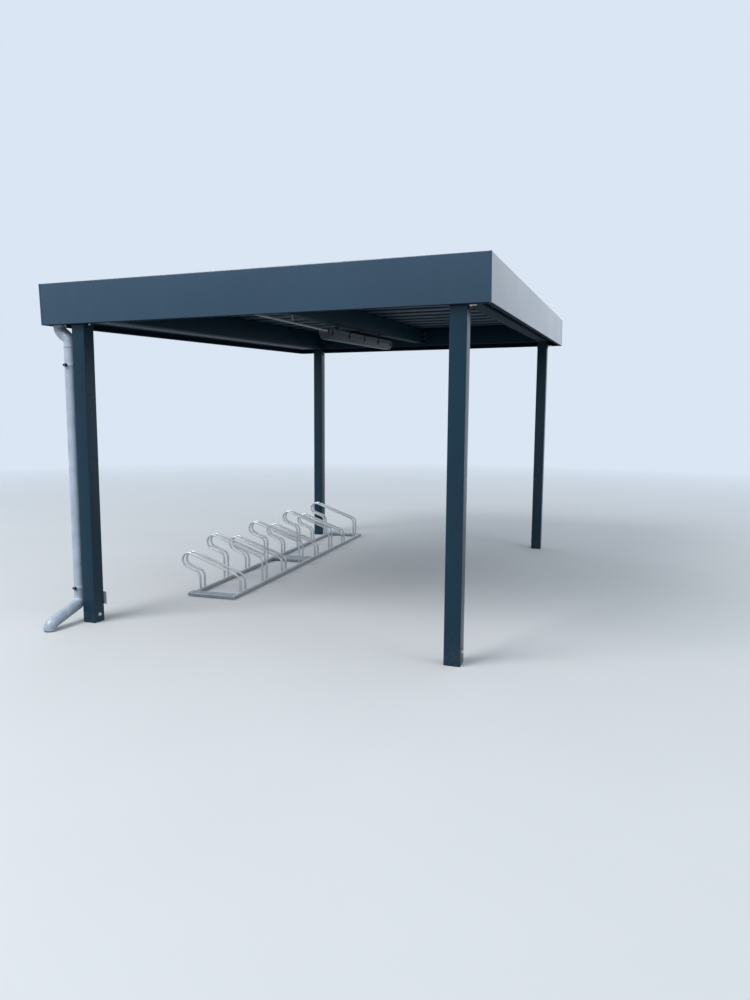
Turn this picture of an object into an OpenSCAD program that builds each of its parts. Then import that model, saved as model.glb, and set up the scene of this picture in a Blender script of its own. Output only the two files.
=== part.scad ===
// Open four-post bicycle shelter with a low-pitch metal roof, its drainage,
// a tube lamp and a two-level rack for eight bicycles.
// +X is to the right, +Y to the rear, +Z up. The origin is on the ground, under
// the middle of the shelter's outline. All sizes are in millimetres.

/* [Posts] */
// Distance between the left and right post rows, centre to centre
post_span_x = 2580; // [2400:10:3600]
// Distance between the front and rear post rows, centre to centre
post_span_y = 3985; // [3950:5:6000]
// Width of a square post tube
post_w = 100; // [80:5:100]
// Wall of a post tube
post_wall = 4; // [3:0.5:6]

/* [Roof] */
// Height of the fascia's lower edge above the ground at the front right post
eaves_z = 2060; // [1900:10:2600]
// Rise of the roof towards the rear, in degrees
rise_rear = 1.66; // [0:0.01:3]
// Rise of the roof towards the right, in degrees
rise_right = 0.5; // [0:0.01:2]
// Overhang from the right post row's centre to the fascia's face
over_right = 190; // [150:5:400]
// Overhang from the left post row's centre to the fascia's face
over_left = 262; // [250:1:400]
// Overhang from the front post row's centre to the fascia's face
over_front = 90; // [86:2:300]
// Overhang from the rear post row's centre to the fascia's face
over_rear = 90; // [86:2:300]

/* [Fascia] */
// Height of the fascia
fascia_h = 270; // [265:5:400]
// Thickness of the fascia's folded sheet
fascia_t = 2; // [1.5:0.5:3]
// Width of the fascia's inward fold along its lower edge
fold_low = 30; // [20:1:44]
// Width of the fascia's inward fold along its upper edge
fold_top = 60; // [30:1:90]
// Gap between the mitred folds at a corner
mitre_gap = 1; // [0.5:0.5:3]
// Width of a fascia bracket
bracket_w = 60; // [40:5:100]
// Height of a fascia bracket
bracket_h = 80; // [40:5:100]
// Thickness of a fascia bracket's plates
bracket_t = 4; // [3:0.5:6]
// Brackets along the front and the rear fascia
brackets_x = 4; // [2:1:8]
// Brackets along the right fascia
brackets_y = 5; // [2:1:10]

/* [Roof frame] */
// Width of the edge beams
beam_w = 100; // [80:5:100]
// Underside of the edge beams above the fascia's lower edge
beam_low = 45; // [20:1:60]
// Wall of the beams and the purlin
beam_wall = 4; // [3:0.5:6]
// Width of the middle purlin
purlin_w = 100; // [60:5:120]
// Underside of the middle purlin above the fascia's lower edge
purlin_low = 70; // [50:1:90]
// Distance of the purlin left of the middle between the post rows
purlin_left = 65; // [0:5:200]
// Underside of the roof sheets above the fascia's lower edge
deck_low = 225; // [200:1:230]

/* [Roof sheets] */
// Ribs in one of the five roof sheets
ribs_n = 3; // [2:1:4]
// Height of a rib
rib_h = 35; // [20:1:38]
// Width of a rib's crest
rib_crest = 80; // [40:1:100]
// Width of a rib's slanted side in plan
rib_side = 25; // [15:1:35]
// Thickness of the roof sheets
sheet_t = 1; // [0.7:0.1:1.5]
// Gap between the roof sheets and the fascia
sheet_gap = 6; // [2:1:20]
// Overhang of the roof sheets beyond the left beam, into the gutter
sheet_drip = 70; // [30:5:120]

/* [Gutter] */
// Height of the gutter's sides
gutter_h = 140; // [100:5:155]
// Thickness of the gutter's sheet
gutter_t = 2; // [1:0.5:3]
// Gap between the gutter's ends and the front and rear fascia
gutter_gap = 4; // [2:1:20]

/* [Downpipe] */
// Outer diameter of the downpipe
pipe_d = 80; // [60:1:86]
// Wall of the downpipe and its bends
pipe_wall = 2; // [1:0.5:3]
// Wall of a pipe socket
socket_wall = 1.5; // [1:0.5:4]
// Length of the upper bend's sockets
socket_l = 25; // [20:5:45]
// Length of the shoe's socket
shoe_socket = 45; // [30:5:50]
// Gap between the downpipe and the post
pipe_gap = 20; // [15:1:40]
// Gap between the outlet's socket and the left fascia's fold
outlet_gap = 2; // [2:1:12]
// Length of the outlet spigot under the gutter
outlet_l = 50; // [45:5:200]
// Radius of the upper bend's turns, on the pipe's centre line
neck_r = 48; // [46:1:60]
// Slope of the upper bend's run, in degrees from upright
neck_angle = 52; // [35:1:55]
// Forward reach of the shoe from the downpipe
shoe_reach = 300; // [200:5:400]
// Radius of the shoe's turns, on the pipe's centre line
shoe_r = 50; // [48:1:70]
// Slope of the shoe's run, in degrees from upright
shoe_angle = 74; // [60:1:80]
// Height of the shoe's mouth above the ground
shoe_mouth = 5; // [2:1:30]
// Distance of the upper pipe clip below the top of the downpipe
clip_top = 145; // [70:5:400]
// Distance of the lower pipe clip above the bottom of the downpipe
clip_low = 65; // [65:5:400]
// Width of a pipe clip
clip_w = 20; // [15:1:30]
// Thickness of a pipe clip
clip_t = 3; // [2:0.5:4]

/* [Lamp] */
// Length of the lamp
lamp_l = 1570; // [1200:10:1700]
// Distance of the lamp's front end behind the front post row
lamp_y = 1260; // [600:10:2000]
// Width of the lamp
lamp_w = 100; // [80:1:140]
// Height of the lamp's tray
lamp_tray_h = 28; // [20:1:50]
// Height of the lamp's cover
lamp_cover_h = 51; // [30:1:70]
// Slant of the cover's sides and ends
lamp_slant = 18; // [5:1:25]
// Wall of the lamp's tray and cover
lamp_wall = 3; // [2:0.5:4]
// Gap between the purlin and the lamp
lamp_gap = 46; // [40:1:80]
// Latches along each side of the lamp
latch_n = 5; // [3:1:8]
// Distance of the outer latches from the lamp's ends
latch_end = 50; // [30:5:150]
// Hangers of the lamp
hanger_n = 3; // [2:1:5]
// Outer diameter of the lamp's conduit
conduit_d = 16; // [12:1:20]
// Distance of the conduit right of the purlin's middle
conduit_right = 35; // [0:1:40]

/* [Rack] */
// Distance from one bicycle place to the next
place_pitch = 400; // [350:5:410]
// Distance from the near end of a rack length to the middle of its first place
place_first = 190; // [180:5:300]
// Distance from the middle of a rack length's last place to its far end
place_last = 210; // [165:5:220]
// Distance of the rack's near end behind the front post row
rack_y = 840; // [200:10:860]
// Distance of the rack's front legs right of the left post row
rack_right = 612; // [580:1:1500]
// Turn of the rack against the post rows, in degrees
rack_turn = 2; // [0:0.5:2.5]
// Distance between the front and rear legs of a hoop
leg_gap = 366; // [300:1:400]
// Distance between the front legs of a place's two hoops, centre to centre
pair_gap = 84; // [60:1:95]
// Turn of each hoop towards the other one of its place, in degrees
hoop_turn = 1.2; // [0:0.1:1.5]
// Outer diameter of a hoop tube
hoop_d = 18; // [16:0.5:22]
// Wall of a hoop tube
hoop_wall = 2; // [1.5:0.5:3]
// Height of a low hoop's front legs below their bend
leg_h = 112; // [90:1:160]
// Extra height of a high hoop
leg_extra = 83; // [60:1:150]
// Radius of the bends above the legs, on the tube's centre line
bend_r = 55; // [45:1:80]
// Radius of the turn at a hoop's rear end, on the tube's centre line
turn_r = 59; // [50:1:70]
// Slope of a hoop's arms, in degrees
arm_slope = 20; // [10:1:30]
// Length of a hoop's straight lower arm
arm_l = 92; // [60:1:150]
// Width and height of a rail's angle section
rail_w = 35; // [34:1:50]
// Thickness of a rail's angle section
rail_t = 4; // [3:0.5:6]
// Gap between the hoop legs and a rail's upright side
rail_gap = 1; // [0.5:0.5:3]
// Gap between the two rack lengths
rack_joint = 2; // [1:0.5:10]
// Width of a cross plate
plate_w = 90; // [80:5:115]
// Height of a cross plate above the rail's flat side
plate_h = 26; // [15:1:28]
// Thickness of a cross plate
plate_t = 3; // [2:0.5:5]

/* [Hidden] */
$fn = 48;

anthracite = "#2e4052";
zinc = "#9aa9ba";
galvanised = "#b4bcc2";
lamp_grey = "#a9adb0";

// Roof plan in the roof's own frame, which has its origin over the front right post
roof_x0 = -post_span_x - over_left;
roof_x1 = over_right;
roof_y0 = -over_front;
roof_y1 = post_span_y + over_rear;
roof_w = roof_x1 - roof_x0;
roof_d = roof_y1 - roof_y0;
beam_h = deck_low - beam_low;
purlin_h = deck_low - purlin_low;
purlin_x = -post_span_x / 2 - purlin_left;
far = roof_w + roof_d;

// How far a cut passes the face that it opens
cut = 1;

// Roof sheets side by side, with a fine joint between them
sheet_n = 5;
sheet_joint = 1;
sheet_y0 = roof_y0 + fascia_t + sheet_gap;
sheet_cover = (roof_d - 2 * (fascia_t + sheet_gap)) / sheet_n;
rib_pitch = (sheet_cover - sheet_joint) / ribs_n;
rib_foot = rib_pitch - rib_crest - 2 * rib_side;
sheet_x0 = -post_span_x - beam_w / 2 - sheet_drip;
sheet_x1 = roof_x1 - fascia_t - sheet_gap;

// Gutter, between the left beam and the left fascia
gutter_x0 = roof_x0 + fascia_t;
gutter_x1 = -post_span_x - beam_w / 2;
gutter_y0 = roof_y0 + fascia_t + gutter_gap;
gutter_y1 = roof_y1 - fascia_t - gutter_gap;

// Fascia brackets, at mid height of the beams
bracket_z = (beam_low + deck_low - bracket_h) / 2;

// Downpipe, left of the front left post
pipe_r = pipe_d / 2;
socket_r = pipe_r + socket_wall;
collar_h = 3;
seam_l = 1;
seam_h = 0.1;
pipe_x = -post_span_x - post_w / 2 - pipe_gap - pipe_r;
outlet_x = roof_x0 + fold_low + outlet_gap + socket_r;
outlet_z = eaves_z + beam_low * cos(rise_right) + outlet_x * sin(rise_right) - outlet_l;
neck_run = (pipe_x - outlet_x - 2 * neck_r * (1 - cos(neck_angle))) / sin(neck_angle);
neck_h = 2 * neck_r * sin(neck_angle) + neck_run * cos(neck_angle);
pipe_top = outlet_z - neck_h - 2 * collar_h;
shoe_run = (shoe_reach - 2 * shoe_r * (1 - cos(shoe_angle))) / sin(shoe_angle);
shoe_h = 2 * shoe_r * sin(shoe_angle) + shoe_run * cos(shoe_angle);
pipe_low = shoe_mouth + shoe_h + collar_h;

// Lamp, under the purlin
lamp_top = purlin_low - lamp_gap;
joint_z = lamp_top - lamp_tray_h;
hanger_w = 20;
latch_w = 18;
latch_h = 50;
latch_t = 3;
conduit_r = conduit_d / 2;
conduit_wall = 1.5;
conduit_turn = 1.2 * conduit_d;
conduit_drop = 2;
conduit_entry = 0.6;
conduit_start = beam_low - conduit_drop;
conduit_end = lamp_top - conduit_entry * lamp_tray_h;
conduit_bend = 90 - atan((conduit_start - conduit_turn - conduit_end) / (lamp_y - conduit_turn));
conduit_run = (lamp_y - conduit_turn * (1 - cos(conduit_bend))) / sin(conduit_bend) + conduit_d;

// Rack, in its own frame: x = 0 at the front legs, y = 0 at the near end
length_places = 4;
hoop_r = hoop_d / 2;
length_l = place_first + (length_places - 1) * place_pitch + place_last;
rail_back = hoop_r + rail_gap;
arm_extra = (leg_gap - 2 * turn_r * sin(arm_slope)) / cos(arm_slope);
leg_bend = 90 - arm_slope;
rear_drop = 2 * turn_r * cos(arm_slope) - arm_extra * sin(arm_slope);

// Middle of the outline on the ground
highest = roof_y1 * sin(rise_rear) + fascia_h * cos(rise_rear);
outline_x0 = roof_x0 * cos(rise_right) - highest * sin(rise_right);
outline_x1 = roof_x1 * cos(rise_right);
outline_y0 = min(-shoe_reach - pipe_r, roof_y0 * cos(rise_rear) - fascia_h * sin(rise_rear));
outline_y1 = roof_y1 * cos(rise_rear);
mid_x = (outline_x0 + outline_x1) / 2;
mid_y = (outline_y0 + outline_y1) / 2;

// The plan's own origin is the middle of the front right post
module plan() {
    translate([-mid_x, -mid_y, 0])
        children();
}

// Heights in the roof's frame are measured from the fascia's lower edge
module roof_frame() {
    plan()
        translate([0, 0, eaves_z])
            rotate([rise_rear, -rise_right, 0])
                children();
}

module rack_frame() {
    plan()
        translate([rack_right - post_span_x, rack_y, 0])
            rotate([0, 0, rack_turn])
                children();
}

// Cuts off everything above the underside of the beams
module under_beams() {
    difference() {
        children();
        roof_frame()
            translate([-far, -far, beam_low])
                cube(2 * far);
    }
}

// Rectangular tube along +X from the origin's corner
module tube_x(l, w, h, wall) {
    difference() {
        cube([l, w, h]);
        translate([-cut, wall, wall])
            cube([l + 2 * cut, w - 2 * wall, h - 2 * wall]);
    }
}

// Rectangular tube along +Y from the origin's corner
module tube_y(l, w, h, wall) {
    difference() {
        cube([w, l, h]);
        translate([wall, -cut, wall])
            cube([w - 2 * wall, l + 2 * cut, h - 2 * wall]);
    }
}

// Post from the ground to the underside of the beams
module post(x, y) {
    hole_w = post_w - 2 * post_wall;
    color(anthracite)
        under_beams()
            plan()
                translate([x - post_w / 2, y - post_w / 2, 0])
                    difference() {
                        cube([post_w, post_w, eaves_z + far]);
                        translate([post_wall, post_wall, -cut])
                            cube([hole_w, hole_w, eaves_z + far + 2 * cut]);
                    }
}

module post_front_left() {
    post(-post_span_x, 0);
}

module post_front_right() {
    post(0, 0);
}

module post_rear_left() {
    post(-post_span_x, post_span_y);
}

module post_rear_right() {
    post(0, post_span_y);
}

// Beam across the roof, between the two side beams
module cross_beam(y) {
    color(anthracite)
        roof_frame()
            translate([beam_w / 2 - post_span_x, y - beam_w / 2, beam_low])
                tube_x(post_span_x - beam_w, beam_w, beam_h, beam_wall);
}

// Beam along the roof, over one post row
module side_beam(x) {
    color(anthracite)
        roof_frame()
            translate([x - beam_w / 2, -beam_w / 2, beam_low])
                tube_y(post_span_y + beam_w, beam_w, beam_h, beam_wall);
}

module beam_front() {
    cross_beam(0);
}

module beam_rear() {
    cross_beam(post_span_y);
}

module beam_left() {
    side_beam(-post_span_x);
}

module beam_right() {
    side_beam(0);
}

module purlin_middle() {
    color(anthracite)
        roof_frame()
            translate([purlin_x - purlin_w / 2, beam_w / 2, purlin_low])
                tube_y(post_span_y - beam_w, purlin_w, purlin_h, beam_wall);
}

// Outline of one side of a roof sheet, z above its underside
function rib_line(z) = [
    for (i = [0 : ribs_n - 1])
        for (p = [
            [rib_foot / 2, 0], [rib_foot / 2 + rib_side, rib_h],
            [rib_pitch - rib_foot / 2 - rib_side, rib_h], [rib_pitch - rib_foot / 2, 0]
        ])
            [i * rib_pitch + p[0], p[1] + z]
];

function reversed(list) = [for (i = [len(list) - 1 : -1 : 0]) list[i]];

module sheet_section() {
    polygon(concat(
        [[0, sheet_t]], rib_line(sheet_t), [[ribs_n * rib_pitch, sheet_t]],
        [[ribs_n * rib_pitch, 0]], reversed(rib_line(0)), [[0, 0]]
    ));
}

// Roof sheet number i, counted from the front
module roof_sheet(i) {
    color(anthracite)
        roof_frame()
            translate([sheet_x0, sheet_y0 + (i - 1) * sheet_cover, deck_low])
                rotate([90, 0, 90])
                    linear_extrude(sheet_x1 - sheet_x0)
                        sheet_section();
}

module roof_sheet_1() {
    roof_sheet(1);
}

module roof_sheet_2() {
    roof_sheet(2);
}

module roof_sheet_3() {
    roof_sheet(3);
}

module roof_sheet_4() {
    roof_sheet(4);
}

module roof_sheet_5() {
    roof_sheet(5);
}

// Mitred fold, l long and w wide, inwards along +Y; start is its gap at both ends
module fold(l, w, start, gap) {
    linear_extrude(fascia_t)
        polygon([[start, 0], [l - start, 0], [l - w - gap, w], [w + gap, w]]);
}

// Both folds of a fascia
module folds(l, start, gap) {
    fold(l, fold_low, start, gap);
    translate([0, 0, fascia_h - fascia_t])
        fold(l, fold_top, start, gap);
}

// Fascia across the whole front or rear: its face on the XZ plane, its folds along +Y
module long_fascia(l) {
    cube([l, fascia_t, fascia_h]);
    folds(l, 0, 0);
}

// Fascia along a side, between the long ones
module side_fascia(l) {
    translate([fascia_t, 0, 0])
        cube([l - 2 * fascia_t, fascia_t, fascia_h]);
    folds(l, fascia_t + mitre_gap, mitre_gap);
}

module fascia_front() {
    color(anthracite)
        roof_frame()
            translate([roof_x0, roof_y0, 0])
                long_fascia(roof_w);
}

module fascia_rear() {
    color(anthracite)
        roof_frame()
            translate([roof_x1, roof_y1, 0])
                rotate([0, 0, 180])
                    long_fascia(roof_w);
}

module fascia_left() {
    color(anthracite)
        roof_frame()
            translate([roof_x0, roof_y1, 0])
                rotate([0, 0, -90])
                    side_fascia(roof_d);
}

module fascia_right() {
    color(anthracite)
        roof_frame()
            translate([roof_x1, roof_y0, 0])
                rotate([0, 0, 90])
                    side_fascia(roof_d);
}

// Channel bracket that reaches l along +Y, between a fascia and a beam
module bracket(l) {
    translate([-bracket_w / 2, 0, 0])
        difference() {
            cube([bracket_w, l, bracket_h]);
            translate([bracket_t, -cut, bracket_t])
                cube([bracket_w, l + 2 * cut, bracket_h - 2 * bracket_t]);
        }
}

// Middles of n equal parts of the stretch from a to b
function spread(n, a, b) = [for (i = [0 : n - 1]) a + (b - a) * (i + 0.5) / n];

// n places from a to b, both ends among them
function evenly(n, a, b) = [for (i = [0 : n - 1]) a + (b - a) * i / (n - 1)];

module brackets_front() {
    color(anthracite)
        roof_frame()
            for (x = spread(brackets_x, beam_w / 2 - post_span_x, -beam_w / 2))
                translate([x, roof_y0 + fascia_t, bracket_z])
                    bracket(over_front - fascia_t - beam_w / 2);
}

module brackets_rear() {
    color(anthracite)
        roof_frame()
            for (x = spread(brackets_x, beam_w / 2 - post_span_x, -beam_w / 2))
                translate([x, post_span_y + beam_w / 2, bracket_z])
                    bracket(over_rear - fascia_t - beam_w / 2);
}

module brackets_right() {
    color(anthracite)
        roof_frame()
            for (y = spread(brackets_y, 0, post_span_y))
                translate([roof_x1 - fascia_t, y, bracket_z])
                    rotate([0, 0, 90])
                        bracket(over_right - fascia_t - beam_w / 2);
}

// Box gutter between its ends, with a round hole over the outlet
module gutter() {
    w = gutter_x1 - gutter_x0;
    l = gutter_y1 - gutter_y0 - 2 * gutter_t;
    color(anthracite)
        difference() {
            roof_frame()
                translate([gutter_x0, gutter_y0 + gutter_t, beam_low])
                    difference() {
                        cube([w, l, gutter_h]);
                        translate([gutter_t, -cut, gutter_t])
                            cube([w - 2 * gutter_t, l + 2 * cut, gutter_h]);
                    }
            plan()
                translate([outlet_x, 0, outlet_z])
                    cylinder(h = outlet_l + gutter_h, r = pipe_r - pipe_wall);
        }
}

// The two plates that close the gutter
module gutter_ends() {
    color(anthracite)
        roof_frame()
            for (y = [gutter_y0, gutter_y1 - gutter_t])
                translate([gutter_x0, y, beam_low])
                    cube([gutter_x1 - gutter_x0, gutter_t, gutter_h]);
}

// Round tube along +Z
module round_tube(l, r, wall) {
    difference() {
        cylinder(h = l, r = r);
        translate([0, 0, -cut])
            cylinder(h = l + 2 * cut, r = r - wall);
    }
}

// Fine ring over the joint between two lengths of tube
module seam(r, wall) {
    translate([0, 0, -seam_l / 2])
        round_tube(seam_l, r + seam_h, wall + 2 * seam_h);
}

// Round tube that starts along +Z and turns towards +X
module tube_bend(angle, turn, r, wall) {
    translate([turn, 0, 0])
        rotate([90, 0, 180])
            rotate_extrude(angle = angle)
                translate([turn, 0])
                    difference() {
                        circle(r = r);
                        circle(r = r - wall);
                    }
}

// Puts the children at the end of such a bend, with their +Z along the tube
module after_bend(angle, turn) {
    translate([turn * (1 - cos(angle)), 0, turn * sin(angle)])
        rotate([0, angle, 0])
            children();
}

// Tube that swings aside towards +X and comes back parallel
module swan_neck(angle, turn, run) {
    tube_bend(angle, turn, pipe_r, pipe_wall);
    after_bend(angle, turn) {
        seam(pipe_r, pipe_wall);
        round_tube(run, pipe_r, pipe_wall);
        translate([0, 0, run])
            rotate([0, 0, 180])
                tube_bend(angle, turn, pipe_r, pipe_wall);
    }
}

// Socket along +Z, l long over a pipe's end, with a collar round its own tube's end at z = 0
module socket(l) {
    difference() {
        translate([0, 0, -seam_l / 2])
            cylinder(h = seam_l / 2 + collar_h + l, r = socket_r);
        translate([0, 0, -seam_l])
            cylinder(h = 2 * seam_l + collar_h + l, r = pipe_r - pipe_wall - seam_h);
        translate([0, 0, collar_h])
            cylinder(h = l + cut, r = pipe_r);
    }
}

// Spigot under the gutter, cut to the gutter's slope
module gutter_outlet() {
    color(zinc)
        under_beams()
            plan()
                translate([outlet_x, 0, outlet_z])
                    round_tube(outlet_l + gutter_h, pipe_r, pipe_wall);
}

module downpipe_bend() {
    color(zinc)
        plan() {
            translate([outlet_x, 0, outlet_z - collar_h])
                socket(socket_l);
            translate([pipe_x, 0, pipe_top + collar_h]) {
                rotate([0, 0, 180])
                    swan_neck(neck_angle, neck_r, neck_run);
                rotate([180, 0, 0])
                    socket(socket_l);
            }
        }
}

module downpipe() {
    color(zinc)
        plan()
            translate([pipe_x, 0, pipe_low])
                round_tube(pipe_top - pipe_low, pipe_r, pipe_wall);
}

module downpipe_shoe() {
    color(zinc)
        plan()
            translate([pipe_x, 0, pipe_low - collar_h]) {
                socket(shoe_socket);
                rotate([180, 0, -90])
                    swan_neck(shoe_angle, shoe_r, shoe_run);
            }
}

// Ring round the downpipe with an arm to the post's side
module pipe_clip(z) {
    translate([pipe_x, 0, z - clip_w / 2]) {
        round_tube(clip_w, pipe_r + clip_t, clip_t);
        translate([pipe_r + clip_t / 2, -clip_t, 0])
            cube([pipe_gap - clip_t / 2, 2 * clip_t, clip_w]);
    }
}

module downpipe_clips() {
    color(zinc)
        plan() {
            pipe_clip(pipe_top - clip_top);
            pipe_clip(pipe_low + clip_low);
        }
}

// Outline of the cover from one side, w wide and narrower towards its lower side
module cover_outline(w, inset) {
    polygon([
        [inset - w / 2, inset], [w / 2 - inset, inset],
        [w / 2 - lamp_slant - inset, inset - lamp_cover_h],
        [inset + lamp_slant - w / 2, inset - lamp_cover_h]
    ]);
}

// Block with that outline from the front and from the side
module cover_block(inset) {
    intersection() {
        rotate([90, 0, 0])
            translate([0, 0, -lamp_l])
                linear_extrude(lamp_l)
                    cover_outline(lamp_w, inset);
        rotate([90, 0, 90])
            translate([lamp_l / 2, 0, -lamp_w])
                linear_extrude(2 * lamp_w)
                    cover_outline(lamp_l, inset);
    }
}

module lamp_cover() {
    color(lamp_grey)
        roof_frame()
            translate([purlin_x, lamp_y, joint_z])
                difference() {
                    cover_block(0);
                    cover_block(lamp_wall);
                }
}

module lamp_tray() {
    color(lamp_grey)
        roof_frame()
            translate([purlin_x - lamp_w / 2, lamp_y, joint_z])
                difference() {
                    cube([lamp_w, lamp_l, lamp_tray_h]);
                    translate([lamp_wall, lamp_wall, -cut])
                        cube([lamp_w - 2 * lamp_wall, lamp_l - 2 * lamp_wall, lamp_tray_h + cut - lamp_wall]);
                }
}

module lamp_latches() {
    color(lamp_grey)
        roof_frame()
            for (y = evenly(latch_n, lamp_y + latch_end, lamp_y + lamp_l - latch_end), side = [-1, 1])
                translate([
                    purlin_x + side * (lamp_w + latch_t) / 2 - latch_t / 2,
                    y - latch_w / 2,
                    joint_z - latch_h / 2
                ])
                    cube([latch_t, latch_w, latch_h]);
}

module lamp_hangers() {
    color(anthracite)
        roof_frame()
            for (y = spread(hanger_n, lamp_y, lamp_y + lamp_l))
                translate([purlin_x - hanger_w / 2, y - hanger_w / 2, lamp_top])
                    tube_y(hanger_w, hanger_w, lamp_gap, lamp_wall);
}

// Conduit from the front beam's underside, sloping to the front end of the lamp's tray
module lamp_conduit() {
    color(lamp_grey)
        roof_frame()
            difference() {
                translate([purlin_x + conduit_right, 0, conduit_start]) {
                    round_tube(conduit_drop, conduit_r, conduit_wall);
                    rotate([180, 0, 90]) {
                        tube_bend(conduit_bend, conduit_turn, conduit_r, conduit_wall);
                        after_bend(conduit_bend, conduit_turn) {
                            seam(conduit_r, conduit_wall);
                            round_tube(conduit_run, conduit_r, conduit_wall);
                        }
                    }
                }
                translate([-far, lamp_y, -far])
                    cube(2 * far);
            }
}

// Angle section of one rack length, with its upright side towards +X
module rail() {
    translate([rail_back + rail_t - rail_w, 0, 0])
        cube([rail_w, length_l - rack_joint, rail_t]);
    translate([rail_back, 0, 0])
        cube([rail_t, length_l - rack_joint, rail_w]);
}

module rack_rail(x) {
    color(galvanised)
        rack_frame()
            for (y = [0, length_l])
                translate([x, y, 0])
                    rail();
}

module rack_rail_front() {
    rack_rail(0);
}

module rack_rail_rear() {
    rack_rail(-leg_gap);
}

// Folded channel from x0 to x1, open below, on the rails' flat sides
module channel(x0, x1, y) {
    translate([x0, y, rail_t])
        difference() {
            cube([x1 - x0, plate_w, plate_h]);
            translate([-cut, plate_t, -cut])
                cube([x1 - x0 + 2 * cut, plate_w - 2 * plate_t, plate_h + cut - plate_t]);
        }
}

// Cross plate at y: between the rails, and behind the rear rail
module cross_plate(y) {
    channel(rail_back + rail_t - leg_gap, rail_back, y);
    channel(rail_back + rail_t - rail_w - leg_gap, rail_back - leg_gap, y);
}

module rack_plate_near() {
    color(galvanised)
        rack_frame()
            cross_plate(0);
}

module rack_plate_middle() {
    color(galvanised)
        rack_frame() {
            cross_plate(length_l - rack_joint - plate_w);
            cross_plate(length_l);
        }
}

module rack_plate_far() {
    color(galvanised)
        rack_frame()
            cross_plate(2 * length_l - rack_joint - plate_w);
}

module hoop_bend(angle, turn) {
    tube_bend(angle, turn, hoop_r, hoop_wall);
}

module hoop_run(l) {
    round_tube(l, hoop_r, hoop_wall);
}

// Hoop tube in the XZ plane, from its front leg at x = 0 to its rear leg
module hoop(leg) {
    hoop_run(leg);
    translate([0, 0, leg])
        rotate([0, 0, 180]) {
            hoop_bend(leg_bend, bend_r);
            after_bend(leg_bend, bend_r) {
                seam(hoop_r, hoop_wall);
                hoop_run(arm_l + arm_extra);
                translate([0, 0, arm_l + arm_extra])
                    hoop_end(leg - rear_drop);
            }
        }
}

// Turn at the hoop's rear end, lower arm and rear leg
module hoop_end(leg) {
    hoop_bend(180, turn_r);
    after_bend(180, turn_r) {
        hoop_run(arm_l);
        translate([0, 0, arm_l])
            rotate([0, 0, 180]) {
                hoop_bend(leg_bend, bend_r);
                after_bend(leg_bend, bend_r) {
                    seam(hoop_r, hoop_wall);
                    hoop_run(leg);
                }
            }
    }
}

// The two hoops of place number i; every second place is a high one
module rack_hoops(i) {
    length_no = floor((i - 1) / length_places);
    place = i - 1 - length_no * length_places;
    middle = length_no * length_l + place_first + place * place_pitch;
    leg = leg_h - rail_t + (i % 2 == 0 ? leg_extra : 0);
    color(galvanised)
        rack_frame()
            for (side = [-1, 1])
                translate([0, middle + side * pair_gap / 2, rail_t])
                    rotate([0, 0, side * hoop_turn])
                        hoop(leg);
}

module rack_hoops_1() {
    rack_hoops(1);
}

module rack_hoops_2() {
    rack_hoops(2);
}

module rack_hoops_3() {
    rack_hoops(3);
}

module rack_hoops_4() {
    rack_hoops(4);
}

module rack_hoops_5() {
    rack_hoops(5);
}

module rack_hoops_6() {
    rack_hoops(6);
}

module rack_hoops_7() {
    rack_hoops(7);
}

module rack_hoops_8() {
    rack_hoops(8);
}

post_front_left();
post_front_right();
post_rear_left();
post_rear_right();
beam_front();
beam_rear();
beam_left();
beam_right();
purlin_middle();
roof_sheet_1();
roof_sheet_2();
roof_sheet_3();
roof_sheet_4();
roof_sheet_5();
fascia_front();
fascia_rear();
fascia_left();
fascia_right();
brackets_front();
brackets_rear();
brackets_right();
gutter();
gutter_ends();
gutter_outlet();
downpipe_bend();
downpipe();
downpipe_clips();
downpipe_shoe();
lamp_tray();
lamp_cover();
lamp_latches();
lamp_hangers();
lamp_conduit();
rack_rail_front();
rack_rail_rear();
rack_plate_near();
rack_plate_middle();
rack_plate_far();
rack_hoops_1();
rack_hoops_2();
rack_hoops_3();
rack_hoops_4();
rack_hoops_5();
rack_hoops_6();
rack_hoops_7();
rack_hoops_8();
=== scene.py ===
"""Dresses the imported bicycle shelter: formed sheet, tubes, fasteners and finishes on the frame."""

import logging
import math
from collections.abc import Callable, Iterable, Sequence
from dataclasses import dataclass, field
from enum import Enum

import bmesh
import bpy
from mathutils import Matrix, Vector


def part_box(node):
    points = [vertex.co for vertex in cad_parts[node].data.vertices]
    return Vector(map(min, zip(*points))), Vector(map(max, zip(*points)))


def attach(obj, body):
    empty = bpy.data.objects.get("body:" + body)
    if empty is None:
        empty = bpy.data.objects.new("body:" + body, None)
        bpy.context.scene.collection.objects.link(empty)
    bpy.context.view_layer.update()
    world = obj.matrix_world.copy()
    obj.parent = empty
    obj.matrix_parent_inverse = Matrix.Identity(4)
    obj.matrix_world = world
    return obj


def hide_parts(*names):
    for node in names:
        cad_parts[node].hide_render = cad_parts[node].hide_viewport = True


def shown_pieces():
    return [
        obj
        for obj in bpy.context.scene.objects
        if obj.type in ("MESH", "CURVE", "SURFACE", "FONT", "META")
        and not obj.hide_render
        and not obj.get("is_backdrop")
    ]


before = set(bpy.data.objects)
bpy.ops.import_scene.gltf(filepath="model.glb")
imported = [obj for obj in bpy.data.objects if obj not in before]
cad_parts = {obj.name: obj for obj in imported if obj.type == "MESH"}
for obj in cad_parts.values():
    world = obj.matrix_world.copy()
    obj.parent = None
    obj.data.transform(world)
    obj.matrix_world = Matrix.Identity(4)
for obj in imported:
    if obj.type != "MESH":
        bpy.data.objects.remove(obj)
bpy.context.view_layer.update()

LOG = logging.getLogger("bicycle_shelter")
UP = Vector((0, 0, 1))
DOWN = -UP
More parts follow.
